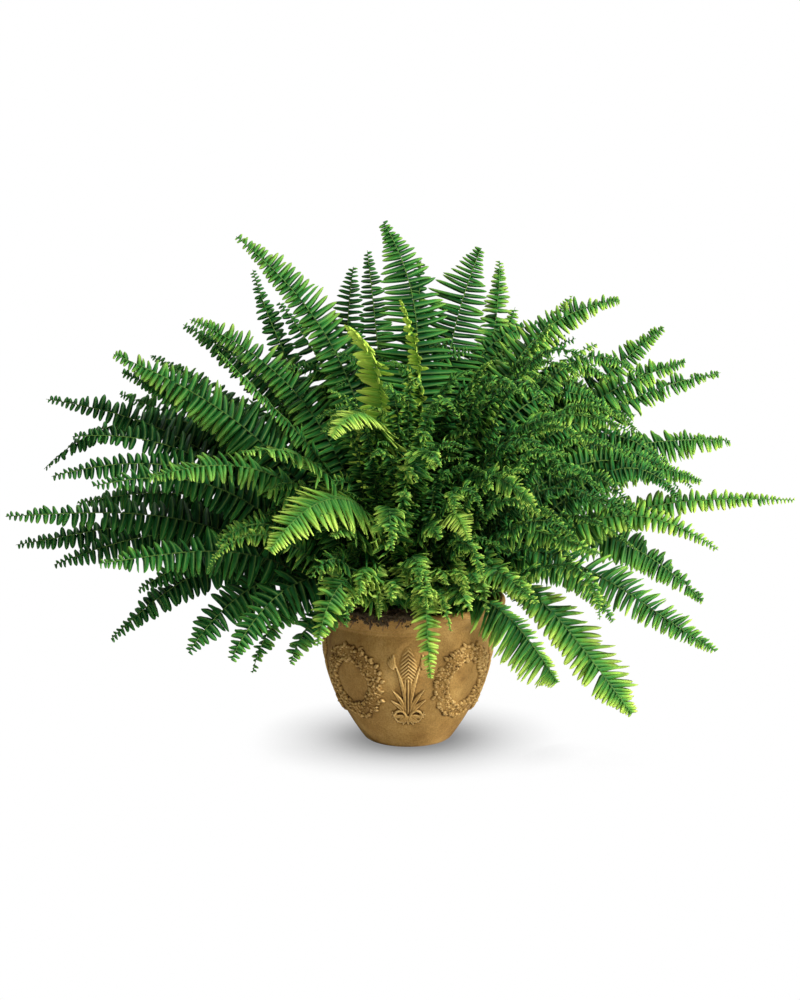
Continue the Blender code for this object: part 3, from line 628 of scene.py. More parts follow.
golden = math.pi * (3 - math.sqrt(5))
free_spots = []
for i in range(CROWN_SPOTS):
    spot_radius = CROWN_FIELD * math.sqrt((i + 0.5) / CROWN_SPOTS)
    across = (spot_radius * math.cos(golden * i), spot_radius * math.sin(golden * i))
    free_spots.append(Vector((*across, soil_height(spot_radius))))
spots = []
for _, *fronds in tufts:
    wanted = Vector()
    for frond in fronds:
        heading = math.atan2(frond.tip[1], frond.tip[0])
        out = CROWN_FIELD * max(INNERMOST, min(OUTERMOST, (90 - frond.launch) / OUTERMOST_LEAN))
        wanted += Vector((out * math.cos(heading), out * math.sin(heading), 0)) / len(fronds)
    nearest = min(free_spots, key=lambda place: (place.xy - wanted.xy).length)
    free_spots.remove(nearest)
    spots.append(nearest)


def rib_controls(frond, foot, trial):
    """The four controls of a rib, and the level way across it."""
    turn, lift, _ = trial
    reach = Vector(frond.tip) - foot
    heading = math.atan2(reach.y, reach.x) + math.radians(turn)
    rise = math.atan2(reach.z, reach.xy.length) + math.radians(lift)
    out = Vector((math.cos(heading), math.sin(heading), 0))
    side = UP.cross(out)
    length = reach.length

    def along(angle):
        return math.cos(angle) * out + math.sin(angle) * UP

    tip = foot + length * along(rise)
    arch = length * (1 + ARCH_PULL * (frond.launch - frond.finish) / 180)
    leave = arch * ROOT_PULL * along(math.radians(frond.launch + lift))
    arrive = arch * TIP_PULL * along(math.radians(frond.finish + lift))
    sway = SWAY * length * math.sin(SWAY_WAVES * heading)
    return foot, foot + leave, tip - arrive + sway * side, tip, side


def blade_roll(frond):
    """How far the blade rolls about its rib."""
    heading = math.atan2(frond.tip[1], frond.tip[0])
    open_way = -1 if frond.tip[1] > FAR_SIDE else 1
    wave = math.sin(FACING_WAVES * heading + frond.launch)
    return open_way * FACING * math.cos(heading) + FACING_VARIETY * wave


def unit(vectors):
    """Each vector at a length of 1."""
    return vectors / np.linalg.norm(vectors, axis=-1, keepdims=True)


def rib_frames(controls, shares, roll):
    """Places on the rib, with the ways along it, across its blade and out of its upper face."""
    a, b, c, d = (np.array(point) for point in controls[:4])
    s = np.asarray(shares, float)[:, None]
    r = 1 - s
    place = r**3 * a + 3 * r**2 * s * b + 3 * r * s**2 * c + s**3 * d
    along = unit(r**2 * (b - a) + 2 * r * s * (c - b) + s**2 * (d - c))
    side = np.array(controls[4])
    level = unit(side - (along @ side)[:, None] * along)
    across = level * math.cos(roll) + np.cross(along, level) * math.sin(roll)
    return place, along, across, np.cross(along, across)


def leaflet_reach(share):
    swell = np.minimum(1.0, SWELL_FOOT + SWELL_RATE * share)
    past = np.maximum(0.0, share - TAPER_FROM) / (1 - TAPER_FROM)
    return swell * (1 - TAPER * past) ** TAPER_CURVE


def young_frond(frond, number, foot):
    turned = math.radians(YOUNG_TURN if number % 2 else -YOUNG_TURN)
    reach = Matrix.Rotation(turned, 3, "Z") @ (Vector(frond.tip) - foot) * YOUNG_SHARE
    reach.z *= YOUNG_HEIGHT
    launch = frond.launch - YOUNG_DROP
    return Frond(tuple(foot + reach), launch, frond.finish - YOUNG_DROP, frond.breadth * YOUNG_BREADTH)


bends = [(turn, lift, roll) for turn in TURNS for lift in LIFTS for roll in ROLLS]
bends.sort(key=lambda t: TURN_WEIGHT * abs(t[0]) + LIFT_WEIGHT * abs(t[1]) + ROLL_WEIGHT * abs(t[2]))


def grown_bend(frond, foot, corners):
    """The bend at which the solid's own tip has this frond's two corners, or none if it wasn't grown."""
    for bend in bends:
        controls = rib_controls(frond, foot, bend)
        if corners.find(controls[3])[2] > LEAFLET_THICK:
            continue
        roll = math.radians(blade_roll(frond) + bend[2])
        place, _, _, normal = rib_frames(controls, [1.0], roll)
        ends = [place[0] + normal[0] * LEAFLET_THICK / 2, place[0] - normal[0] * LEAFLET_THICK / 2]
        if all(corners.find(end)[2] < SEAM_GAP for end in ends):
            return bend
    return None


# Leaflet: thin and a little arched, with a small ear at its foot on the side towards the frond's tip, a
# crease along its midrib and a blunt point. It is shaped from a grid, doubled for its underside and joined.
LEAFLET_ROWS = (
    (0.00, 0.34, 0.26),
    (0.05, 0.62, 0.42),
    (0.14, 0.56, 0.48),
    (0.30, 0.50, 0.49),
    (0.50, 0.45, 0.46),
    (0.69, 0.39, 0.41),
    (0.85, 0.30, 0.32),
    (0.95, 0.17, 0.18),
    (1.00, 0.02, 0.02),
)
YOUNG_ROWS = (
    (0.00, 0.36, 0.30),
    (0.14, 0.58, 0.46),
    (0.42, 0.46, 0.46),
    (0.72, 0.34, 0.36),
    (0.92, 0.17, 0.18),
    (1.00, 0.02, 0.02),
)
MIDRIB_GAP = 0.0005


def leaflet_model(rows):
    """The points, their side of the midrib, and the faces of one closed leaflet of unit length."""
    steps = len(rows) - 1
    bpy.ops.object.select_all(action="DESELECT")
    bpy.ops.mesh.primitive_grid_add(x_subdivisions=steps, y_subdivisions=2, size=1, location=(0.5, 0, 0))
    leaflet = bpy.context.object
    bpy.ops.object.transform_apply(location=True, rotation=False, scale=False)
    for vertex in leaflet.data.vertices:
        share, upper, lower = rows[round(vertex.co.x * steps)]
        side = round(vertex.co.y * 2)
        vertex.co = (share, upper if side > 0 else -lower if side < 0 else 0.0, 0.0 if side else 0.5)
    edit_whole()
    bpy.ops.mesh.duplicate()
    bpy.ops.mesh.flip_normals()
    bpy.ops.transform.resize(value=(1, 1, -1), center_override=(0, 0, 0))
    weld(MIDRIB_GAP)
    points = np.array([v.co for v in leaflet.data.vertices])
    faces = [tuple(f.vertices) for f in leaflet.data.polygons]
    bpy.data.objects.remove(leaflet)
    return points, np.sign(np.round(points[:, 1], 4)), faces


grown_leaflet = leaflet_model(LEAFLET_ROWS)
young_leaflet = leaflet_model(YOUNG_ROWS)

# Blade: the leaflets are laid along the rib, close at the tip and wider apart below. Each leaves the rib
# at a slant, arches over under its own weight and is turned a little on its own midrib.
LEAFLET_FROM, LEAFLET_TO = 0.075, 0.996
LEAFLET_PITCH, LEAFLET_WIDTH, LEAFLET_LENGTH, LEAFLET_SLANT = 0.054, 0.057, 1.20, 6
MISSING = 0.02
CLOSER_FROM, CLOSER_OVER, CLOSER = 0.86, 0.14, 0.30
FINER_FROM, FINER_OVER, FINER, FINER_WHERE_LONG = 0.83, 0.17, 0.45, 0.40
DROOP_VARIETY, SLANT_VARIETY, TIP_SLANT_FROM, TIP_SLANT = 0.17, 0.08, 0.75, 0.55
TWIST, TWIST_VARIETY, CURL, CURL_VARIETY = 0.18, 0.26, 0.05, 0.28
WEIGHTS, SAGS, AHEAD = (0.05, 0.30), (0.10, 0.45), (0.05, 0.50)
RUFFLE, RUFFLE_WAVES, ARCHED, CREASED = 0.09, 13, 0.55, 0.28
WIDEST = 0.54
RIB_HALF, RIB_TIP_HALF, RIB_STEPS, RIB_GAP = 0.0010, 0.0003, 26, 0.00001
LOOK_COLUMNS = "tone spacing width length unruly glow lean slant foot"
Look = collections.namedtuple("Look", LOOK_COLUMNS, defaults=(0, LEAFLET_SLANT, 1))
random_leaf = np.random.default_rng(5)


def leaflet_stations(controls, breadth, spacing):
    """Where the leaflets stand, as shares of the rib, in steps that follow the blade's breadth."""
    shares = np.linspace(0, 1, 200)
    place = rib_frames(controls, shares, 0)[0]
    steps = np.linalg.norm(np.diff(place, axis=0), axis=1)
    length = np.concatenate([[0], np.cumsum(steps)])
    at = np.interp(LEAFLET_FROM, shares, length)
    end = np.interp(LEAFLET_TO, shares, length)
    found = []
    while at < end:
        share = np.interp(at, length, shares)
        found.append(share)
        blade = max(0, (share - STALK_SHARE) / (1 - STALK_SHARE))
        closer = 1 - CLOSER * np.clip((share - CLOSER_FROM) / CLOSER_OVER, 0, 1)
        at += spacing * math.sqrt(breadth) * LEAFLET_PITCH * (0.60 + 0.40 * leaflet_reach(blade)) * closer / 2
    return np.array(found)


def frond_leaflets(frond, controls, roll, look, model):
    """Vertices, faces, tones, midrib marks and leaf co-ordinates of one frond's leaflets."""
    tone, spacing, wider, longer, unruly, glow, lean, slanted, foot_length = look
    leaflet_points, leaflet_sides, leaflet_faces = model
    shares = leaflet_stations(controls, frond.breadth, spacing)
    signs = np.where(np.arange(len(shares)) % 2, 1.0, -1.0)
    kept = random_leaf.random(len(shares)) > MISSING * unruly
    shares, signs = shares[kept], signs[kept]
    place, along, across, normal = rib_frames(controls, shares, roll)
    blade = (shares - STALK_SHARE) / (1 - STALK_SHARE)
    foot_share = np.clip((shares - LEAFLET_FROM) / (STALK_SHARE - LEAFLET_FROM), 0, 1)
    many = len(shares)

    def vary(middle, variety):
        """One value for each leaflet, around a middle."""
        return random_leaf.normal(middle, variety, many)

    def pick_each(low, high):
        """One value for each leaflet, between two limits."""
        return random_leaf.uniform(low, high, many)

    reach = leaflet_reach(np.maximum(0, blade))
    finest = FINER + FINER_WHERE_LONG * max(0, longer - 1)
    finer = 1 - finest * np.clip((blade - FINER_FROM) / FINER_OVER, 0, 1) ** 1.2
    length = longer * LEAFLET_LENGTH * frond.breadth * reach * (0.55 + 0.45 * foot_share) * finer
    length *= (1 + lean * signs) * pick_each(1 - 0.10 * unruly, 1.06)
    length *= foot_length + (1 - foot_length) * np.clip(blade / 0.8, 0, 1) ** 1.5
    droop = LEAFLET_DROOP + vary(0, DROOP_VARIETY * unruly)
    outward = np.cos(droop)[:, None] * signs[:, None] * across - np.sin(droop)[:, None] * normal
    slant = math.radians(slanted) + vary(0, SLANT_VARIETY * unruly)
    slant = slant + TIP_SLANT * np.clip(blade - TIP_SLANT_FROM, 0, 1)
    start = np.cos(slant)[:, None] * outward + np.sin(slant)[:, None] * along
    weight = pick_each(*WEIGHTS)[:, None] * np.array([0, 0, -1.0])
    weight = weight - (pick_each(*SAGS) * unruly)[:, None] * normal
    finish = unit(outward + weight + pick_each(*AHEAD)[:, None] * along)
    twist = vary(TWIST, TWIST_VARIETY * unruly)
    curl = vary(CURL, CURL_VARIETY * unruly)
    x, y, z = leaflet_points.T
    start, finish = start[:, None, :], finish[:, None, :]
    ways = unit(start * (1 - x)[None, :, None] + finish * x[None, :, None])
    bend = start * (x - x**2 / 2)[None, :, None] + finish * (x**2 / 2)[None, :, None]
    rib_half = RIB_HALF + (RIB_TIP_HALF - RIB_HALF) * shares[:, None]
    base = place - signs[:, None] * across * rib_half * 0.7 + normal * rib_half * 0.8
    spine = base[:, None, :] + bend * length[:, None, None]
    wide = unit(along[:, None, :] - np.sum(along[:, None, :] * ways, axis=2)[:, :, None] * ways)
    turn = signs[:, None] * (twist[:, None] + curl[:, None] * x[None, :])
    up = signs[:, None, None] * np.cross(wide, ways)
    broad = wide * np.cos(turn)[:, :, None] + up * (signs[:, None] * np.sin(turn))[:, :, None]
    face = signs[:, None, None] * np.cross(broad, ways)
    width = wider * math.sqrt(frond.breadth) * LEAFLET_WIDTH * (0.55 + 0.45 * reach) * pick_each(0.86, 1.10)
    width = np.minimum(width * (0.7 + 0.3 * finer), WIDEST * length)[:, None]
    phase = pick_each(0, 6.28)[:, None]
    ruffle = RUFFLE * unruly * np.sin(RUFFLE_WAVES * x[None, :] + phase) * y[None, :]
    arch = ruffle - ARCHED * (y**2)[None, :] - CREASED * np.abs(y)[None, :]
    points = spine + broad * (width * y[None, :])[:, :, None]
    points += face * (width * arch + LEAFLET_THICK * z[None, :])[:, :, None]
    # Tone of each leaflet: the tuft's tone, which holds painted light and shade by how lit the tuft stands;
    # lighter out along the frond, partly the fern's own paler young growth and partly painted shade darker towards
    # the crown inside the plant; and a little random tone.
    shade = tone - 0.04 + 0.30 * np.clip(shares, 0, 1) ** 1.6 + vary(0, 0.06)
    # Along each leaflet: lighter to its tip by the glow, partly its own paler tip and partly a painted highlight,
    # and a painted shade darker beside the rib.
    shade = shade[:, None] + 1.25 * glow * x[None, :] ** 1.4 - 0.13 * (1 - x[None, :]) ** 2
    rib_mark = np.broadcast_to((leaflet_sides == 0)[None, :], shade.shape)
    leaf_place = np.broadcast_to(np.stack([x, leaflet_sides], 1)[None], (many, len(x), 2))
    faces = []
    for i, sign in enumerate(signs):
        start_at = i * len(leaflet_points)
        for face_points in leaflet_faces:
            order = face_points if sign < 0 else face_points[::-1]
            faces.append([start_at + k for k in order])
    return points.reshape(-1, 3), faces, shade.ravel(), rib_mark.ravel(), leaf_place.reshape(-1, 2)


def bezier_rib(controls, name):
    """The rib as a tapered round wire on its own four controls, made a closed mesh."""
    bpy.ops.object.select_all(action="DESELECT")
    bpy.ops.curve.primitive_bezier_curve_add(location=(0, 0, 0))
    wire = bpy.context.object
    wire.name = name
    data = wire.data
    data.dimensions = "3D"
    data.resolution_u = RIB_STEPS
    data.bevel_depth = RIB_HALF
    data.bevel_resolution = 1
    data.use_fill_caps = True
    first, last = data.splines[0].bezier_points
    for point, radius in ((first, 1.0), (last, RIB_TIP_HALF / RIB_HALF)):
        point.handle_left_type = point.handle_right_type = "FREE"
        point.radius = radius
    foot, leave, arrive, tip, _ = controls
    first.co, first.handle_left, first.handle_right = foot, foot - (leave - foot) * 0.1, leave
    last.co, last.handle_left, last.handle_right = tip, arrive, tip + (tip - arrive) * 0.1
    bpy.ops.object.convert(target="MESH")
    made = bpy.context.object
    bpy.ops.object.mode_set(mode="EDIT")
    weld(RIB_GAP)
    return made


# Leaf finishes: a satin green that runs from deep, on old leaves inside the plant, partly their own deeper green
# and partly painted shade, to yellow-green on the young ones and the tips, partly their own paler green and partly
# painted light. The paler and darker greens are painted light and shade for the lit and shaded sides; the lime
# green is painted light with a painted glow, and the leaflet margins carry a painted highlight. The midrib is
# paler, and fine side veins stand a little proud of the face.
VEIN_SLANT, VEINS, MARGIN_CURVE, CLOUD_SCALE = -0.08, 95.0, 4.0, 70.0
CLOUDED, EDGE_HIGHLIGHT = 0.22, 0.32
MIDRIB_COLOUR, MIDRIB_CURVE, MIDRIB_PALER = (0.30, 0.46, 0.10, 1), 9.0, 0.35
SHADED_GREEN_STOPS = (
    (0.10, (0.002, 0.018, 0.003)),
    (0.35, (0.004, 0.052, 0.011)),
    (0.62, (0.023, 0.152, 0.023)),
    (0.80, (0.108, 0.288, 0.038)),
    (0.98, (0.310, 0.480, 0.080)),
)
LIT_GREEN_STOPS = (
    (0.10, (0.003, 0.026, 0.004)),
    (0.35, (0.006, 0.064, 0.013)),
    (0.60, (0.037, 0.172, 0.023)),
    (0.78, (0.172, 0.350, 0.041)),
    (0.97, (0.420, 0.580, 0.090)),
)
LIT_LIME_STOPS = (
    (0.10, (0.020, 0.100, 0.010)),
    (0.35, (0.055, 0.210, 0.020)),
    (0.60, (0.200, 0.410, 0.038)),
    (0.80, (0.400, 0.600, 0.065)),
    (1.00, (0.560, 0.730, 0.105)),
)
RIB_STOPS = (
    (0.02, (0.030, 0.015, 0.006)),
    (0.18, (0.030, 0.024, 0.007)),
    (0.45, (0.018, 0.048, 0.008)),
    (0.9, (0.10, 0.19, 0.03)),
)
CROWN_STOPS = ((0.35, (0.030, 0.016, 0.008)), (0.65, (0.14, 0.075, 0.03)))
CROWN_SIDES, CROWN_FOOT, CROWN_TOP, CROWN_ROUGH = 12, 0.0056, 0.0040, 0.16

vein_group = bpy.data.node_groups.new("leaf_veins", "ShaderNodeTree")
leaf_map = add_node(vein_group, "ShaderNodeUVMap", uv_map="leaf")
parts = add_node(vein_group, "ShaderNodeSeparateXYZ", Vector=leaf_map.outputs["UV"]).outputs
sideways = maths(vein_group, "ABSOLUTE", parts["Y"])
stripes = maths(vein_group, "MULTIPLY", maths(vein_group, "MULTIPLY_ADD", sideways, VEIN_SLANT, parts["X"]), VEINS)
place = vein_group.nodes.new("ShaderNodeTexCoord").outputs["Object"]
cloud = add_node(vein_group, "ShaderNodeTexNoise", Vector=place, Scale=CLOUD_SCALE, Detail=3.0)
give_out(
    vein_group,
    Veins=maths(vein_group, "SINE", stripes),
    Cloud=cloud.outputs["Fac"],
    Margin=maths(vein_group, "POWER", sideways, MARGIN_CURVE),
)


def leaf_finish(name, stops, painted_glow=0.0):
    """The leaf's colour by tone. The glow is a little light of its own, a painted glow for sun that shines into
    the leaf from behind.
    """
    made, tree, shader = new_material(name, 0.50, 0.09)
    veins = add_node(tree, "ShaderNodeGroup", node_tree=vein_group).outputs
    tone = maths(tree, "MULTIPLY_ADD", veins["Cloud"], CLOUDED, attribute(tree, "tone"))
    # Painted highlight: the leaflet's margins are made lighter.
    tone = maths(tree, "MULTIPLY_ADD", veins["Margin"], EDGE_HIGHLIGHT, tone)
    midrib = maths(tree, "POWER", attribute(tree, "midrib"), MIDRIB_CURVE)
    paler = maths(tree, "MULTIPLY", midrib, MIDRIB_PALER)
    colour = mix_colours(tree, "MIX", paler, colour_ramp(tree, stops, tone), MIDRIB_COLOUR)
    cover(tree, shader, colour, veins["Veins"], 0.25, 0.0003)
    # Painted glow: the leaf gives out its own colour as light, where it is no lamp.
    feed(tree, shader.inputs["Emission Color"], colour)
    feed(tree, shader.inputs["Emission Strength"], painted_glow)
    return made


darker_shaded_green = leaf_finish("darker_shaded_green", SHADED_GREEN_STOPS)
paler_lit_green = leaf_finish("paler_lit_green", LIT_GREEN_STOPS)
lit_lime_green = leaf_finish("lit_lime_green", LIT_LIME_STOPS, 0.16)
rib_finish, tree, shader = new_material("wiry_rib", 0.75, 0.15)
feed(tree, shader.inputs["Base Color"], colour_ramp(tree, RIB_STOPS, attribute(tree, "tone")))
crown_finish, tree, shader = new_material("scaly_crown", 0.9)
_, grit = add_grain(tree, 90.0)
feed(tree, shader.inputs["Base Color"], colour_ramp(tree, CROWN_STOPS, grit))

bpy.ops.object.select_all(action="DESELECT")
bpy.ops.mesh.primitive_cone_add(
    vertices=CROWN_SIDES,
    radius1=CROWN_FOOT,
    radius2=CROWN_TOP,
    depth=CROWN_BELOW + CROWN_ABOVE,
    location=(0, 0, 0),
)
crown = bpy.context.object
edit_whole()
bpy.ops.mesh.subdivide(number_cuts=2)
bpy.ops.object.mode_set(mode="OBJECT")
for vertex in crown.data.vertices:
    rough = 1 + CROWN_ROUGH * noise.noise(vertex.co * 900)
    vertex.co.x *= rough
    vertex.co.y *= rough
    vertex.co.z += (CROWN_ABOVE - CROWN_BELOW) / 2
crown_model = crown.data
bpy.data.objects.remove(crown)


def dressed_tuft(label, spot, grown, leaf, model):
    """One piece: a crown at its spot, and each frond's rib and leaflets. Takes (frond, foot, bend, look)."""
    points, faces, tones, marks, leaf_places, ribs = [], [], [], [], [], []
    for frond, foot, bend, look in grown:
        controls = rib_controls(frond, foot, bend)
        roll = math.radians(blade_roll(frond) + bend[2])
        new_points, new_faces, *new_values = frond_leaflets(frond, controls, roll, look, model)
        start = sum(len(group) for group in points)
        faces += [[start + k for k in face] for face in new_faces]
        for kept, new in zip((points, tones, marks, leaf_places), (new_points, *new_values)):
            kept.append(new)
        rib = bezier_rib(controls, f"rib_{label}")
        reach = (Vector(controls[3]) - foot).length
        away = [min(1, (v.co - foot).length / reach) for v in rib.data.vertices]
        rib.data.attributes.new("tone", "FLOAT", "POINT").data.foreach_set("value", np.array(away, np.float32))
        rib.data.materials.append(rib_finish)
        ribs.append(rib)
    mesh = bpy.data.meshes.new(f"fern_{label}")
    mesh.from_pydata(np.concatenate(points).tolist(), [], faces)
    mesh.materials.append(leaf)
    for name, values in (("tone", tones), ("midrib", marks)):
        spread = np.concatenate(values).astype(np.float32)
        mesh.attributes.new(name, "FLOAT", "POINT").data.foreach_set("value", spread)
    corner_points = np.empty(len(mesh.loops), int)
    mesh.loops.foreach_get("vertex_index", corner_points)
    leaf_uv = mesh.uv_layers.new(name="leaf")
    leaf_uv.data.foreach_set("uv", np.concatenate(leaf_places)[corner_points].astype(np.float32).ravel())
    mesh.shade_smooth()
    piece = put(f"fern_{label}", mesh)
    crown_mesh = crown_model.copy()
    crown_mesh.transform(Matrix.Translation(spot))
    crown_mesh.materials.append(crown_finish)
    crown = put(f"crown_{label}", crown_mesh)
    bpy.ops.object.select_all(action="DESELECT")
    for other in (*ribs, crown, piece):
        other.select_set(True)
    bpy.context.view_layer.objects.active = piece
    bpy.ops.object.join()
    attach(piece, "root")
    return piece


# How the leaflets of each tuft look, in the order of LOOK_COLUMNS, and of the two back rings as a whole. The tone
# column paints light and shade too: tufts in the light stand higher, tufts behind and in shade lower. The glow
# column paints a highlight towards the leaflet tips besides their own paler tips.
LOOKS = {
    "back_low": (0.22, 0.90, 0.95, 1.00, 1.1, 0.12),
    "back_high": (0.24, 0.90, 0.95, 1.00, 1.1, 0.12),
    "front_01": (0.34, 0.58, 0.84, 1.08, 0.7, 0.34, 0, 12),
    "front_02": (0.44, 0.60, 0.70, 0.95, 0.9, 0.30),
    "front_03": (0.24, 0.58, 0.76, 1.32, 0.7, 0.42, 0.22, 22, 0.20),
    "front_04": (0.22, 0.58, 0.76, 1.10, 0.9, 0.40, -0.45, 22, 0.50),
    "front_05": (0.44, 0.60, 0.70, 0.80, 1.2, 0.30),
    "front_06": (0.34, 0.60, 0.72, 0.95, 1.0, 0.34),
    "front_07": (0.22, 0.62, 0.66, 0.80, 2.4, 0.30),
    "front_08": (0.15, 0.64, 0.66, 0.80, 2.6, 0.32),
    "front_09": (0.20, 0.62, 0.66, 0.80, 2.2, 0.32),
    "front_10": (0.18, 0.64, 0.75, 0.85, 2.4, 0.32),
    "front_11": (0.20, 0.62, 0.70, 0.85, 2.4, 0.34),
    "front_12": (0.34, 0.58, 0.68, 0.95, 1.4, 0.34),
    "front_13": (0.22, 0.60, 0.70, 0.85, 2.4, 0.36),
    "front_14": (0.30, 0.72, 0.85, 0.90, 1.4, 0.24),
    "front_15": (0.24, 0.60, 0.85, 0.95, 2.6, 0.38),
    "right_01": (0.34, 0.80, 0.86, 0.80, 1.0, 0.24, 0.10),
    "right_02": (0.14, 0.62, 0.68, 1.08, 1.0, 0.30, 0.12, 10),
    "right_03": (0.14, 0.62, 0.68, 1.08, 1.0, 0.30, 0.12, 10),
    "right_04": (0.20, 0.66, 0.70, 0.85, 2.2, 0.24),
    "right_05": (0.16, 0.66, 0.72, 1.10, 1.2, 0.28, 0.12),
    "right_06": (0.22, 0.64, 0.72, 1.16, 1.2, 0.30, 0.12),
    "right_07": (0.18, 0.66, 0.72, 1.02, 1.8, 0.26),
    "right_08": (0.18, 0.62, 0.70, 1.12, 1.1, 0.30, -0.22),
    "right_09": (0.26, 0.68, 0.70, 0.92, 2.0, 0.28),
    "left_01": (0.19, 1.06, 1.00, 1.06, 1.0, 0.14, -0.15),
    "left_02": (0.30, 0.76, 0.80, 1.00, 1.0, 0.24, -0.25),
    "left_03": (0.11, 0.98, 0.96, 1.08, 1.0, 0.12, -0.25),
    "left_04": (0.28, 0.80, 0.90, 1.05, 0.9, 0.24, -0.15),
    "left_05": (0.13, 0.98, 0.96, 1.00, 1.0, 0.12),
    "left_06": (0.14, 0.90, 1.00, 1.00, 1.0, 0.08),
    "left_07": (0.16, 0.90, 1.00, 1.00, 1.0, 0.10),
    "left_08": (0.20, 0.88, 1.00, 1.00, 1.1, 0.14),
    "left_09": (0.26, 0.85, 0.90, 1.00, 1.3, 0.18),
    "left_10": (0.24, 0.90, 0.95, 1.00, 1.3, 0.14),
    "left_11": (0.13, 1.02, 1.00, 1.05, 1.0, 0.10),
    "left_12": (0.20, 0.80, 0.90, 1.10, 1.0, 0.16, -0.20),
    "left_13": (0.18, 0.74, 0.80, 1.05, 1.5, 0.16, -0.20),
    "left_14": (0.40, 0.80, 0.90, 0.95, 1.3, 0.20),
    "left_15": (0.36, 0.80, 0.90, 0.95, 1.2, 0.20),
    "top_01": (0.18, 0.78, 0.72, 1.40, 0.6, 0.26),
    "top_02": (0.18, 0.72, 0.62, 1.60, 0.6, 0.24, 0.28),
    "top_03": (0.10, 0.90, 0.75, 1.14, 0.8, 0.16),
    "top_04": (0.30, 0.74, 0.80, 1.18, 1.2, 0.30),
    "top_05": (0.12, 0.90, 0.90, 1.00, 1.2, 0.08),
    "top_06": (0.18, 0.90, 0.90, 1.00, 1.2, 0.10),
}
# The lime green is painted light, brighter and with a painted glow, for two tufts that face away from the lamps.
LIT_LIME_TUFTS = ("front_06", "front_12")
numbers = collections.Counter()
for number, (side_name, first, *second) in enumerate(tufts):
    numbers[side_name] += 1
    label = f"{side_name}_{numbers[side_name]:02d}"
    node = f"frond_{label}"
    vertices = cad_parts[node].data.vertices
    corners = kdtree.KDTree(len(vertices))
    for i, vertex in enumerate(vertices):
        corners.insert(vertex.co, i)
    corners.balance()
    spot = spots[number]
    listed = [first, *second]
    if not second and first.launch >= STEEP:
        listed.append(young_frond(first, number, spot))
    look = Look(*(LOOKS.get(label) or LOOKS[side_name]))
    grown = []
    for frond in listed:
        sibling = next((other for other in listed if other is not frond), None)
        turn = Vector(frond.tip).xy.angle_signed(Vector(sibling.tip).xy, 0) if sibling else 0
        apart = UP.cross(Vector((spot.x, spot.y, 0))).normalized() * SIBLING_SPREAD
        foot = spot + apart * ((turn > 0) - (turn < 0))
        bend = grown_bend(frond, foot, corners)
        if bend:
            grown.append((frond, foot, bend, look))
    # Painted light: tufts on the front and right take the paler green as if lit, the others the darker green as if
    # shaded.
    leaf = paler_lit_green if side_name in ("front", "right") else darker_shaded_green
    if label in LIT_LIME_TUFTS:
        leaf = lit_lime_green
    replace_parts(dressed_tuft(label, spot, grown, leaf, grown_leaflet), node)

# Young fronds: between the tall ones the plant keeps sending up short fronds, crowded and curled, which
# fill its middle. They rise from crowns of their own in the soil that the tall tufts leave free.
Place = collections.namedtuple("Place", "many low high tones breadths spacing width unruly")
YOUNG_PLACES = (
    Place(84, (-0.10, -0.195, 0.19), (0.23, -0.05, 0.43), (0.00, 0.24), (0.013, 0.021), 0.70, 0.66, 3.0),
    Place(22, (-0.085, -0.165, 0.152), (0.080, -0.120, 0.200), (0.20, 0.46), (0.019, 0.028), 0.62, 0.85, 3.2),
    Place(44, (-0.15, -0.01, 0.29), (0.22, 0.10, 0.44), (0.00, 0.15), (0.024, 0.034), 0.85, 0.95, 1.6),
    Place(44, (-0.22, -0.19, 0.16), (0.22, 0.24, 0.40), (0.06, 0.26), (0.016, 0.026), 0.75, 0.75, 2.4),
    Place(30, (0.14, -0.06, 0.25), (0.25, 0.10, 0.42), (0.00, 0.16), (0.020, 0.028), 0.70, 0.75, 1.8),
    Place(7, (0.24, -0.06, 0.262), (0.30, 0.04, 0.288), (0.02, 0.16), (0.024, 0.030), 0.70, 0.80, 1.4),
)
YOUNG_CROWNS, YOUNG_OUT, CROWDING, YOUNG_LENGTH, YOUNG_STEP = 24, 0.05, 0.012, 0.90, 0.002
random_young = np.random.default_rng(23)
pick = random_young.uniform
young_spots = free_spots[:YOUNG_CROWNS]
shoots = [[] for _ in young_spots]
for group_place in YOUNG_PLACES:
    for _ in range(group_place.many):
        tip = Vector(pick(group_place.low, group_place.high))
        wanted = tip.xy.normalized() * YOUNG_OUT
        near = [(spot.xy - wanted).length + CROWDING * len(group) for spot, group in zip(young_spots, shoots)]
        i = near.index(min(near))
        reach = tip - young_spots[i]
        rise = math.degrees(math.atan2(reach.z, reach.xy.length))
        launch, finish = min(87, rise + pick(15, 40)), rise - pick(45, 100)
        frond = Frond(tuple(tip), launch, finish, pick(*group_place.breadths))
        tone, glow = pick(*group_place.tones), pick(0.20, 0.46)
        look = Look(tone, group_place.spacing, group_place.width, YOUNG_LENGTH, group_place.unruly, glow)
        foot = young_spots[i] + Vector((*(reach.xy.normalized() * YOUNG_STEP), 0))
        shoots[i].append((frond, foot, (0, 0, pick(-40, 40)), look))
for i, (spot, group) in enumerate(zip(young_spots, shoots)):
    if group:
        # The young tufts take the paler and darker greens by turns, for variety of tone.
        leaf = paler_lit_green if i % 2 else darker_shaded_green
        dressed_tuft(f"young_{i + 1:02d}", spot, group, leaf, young_leaflet)

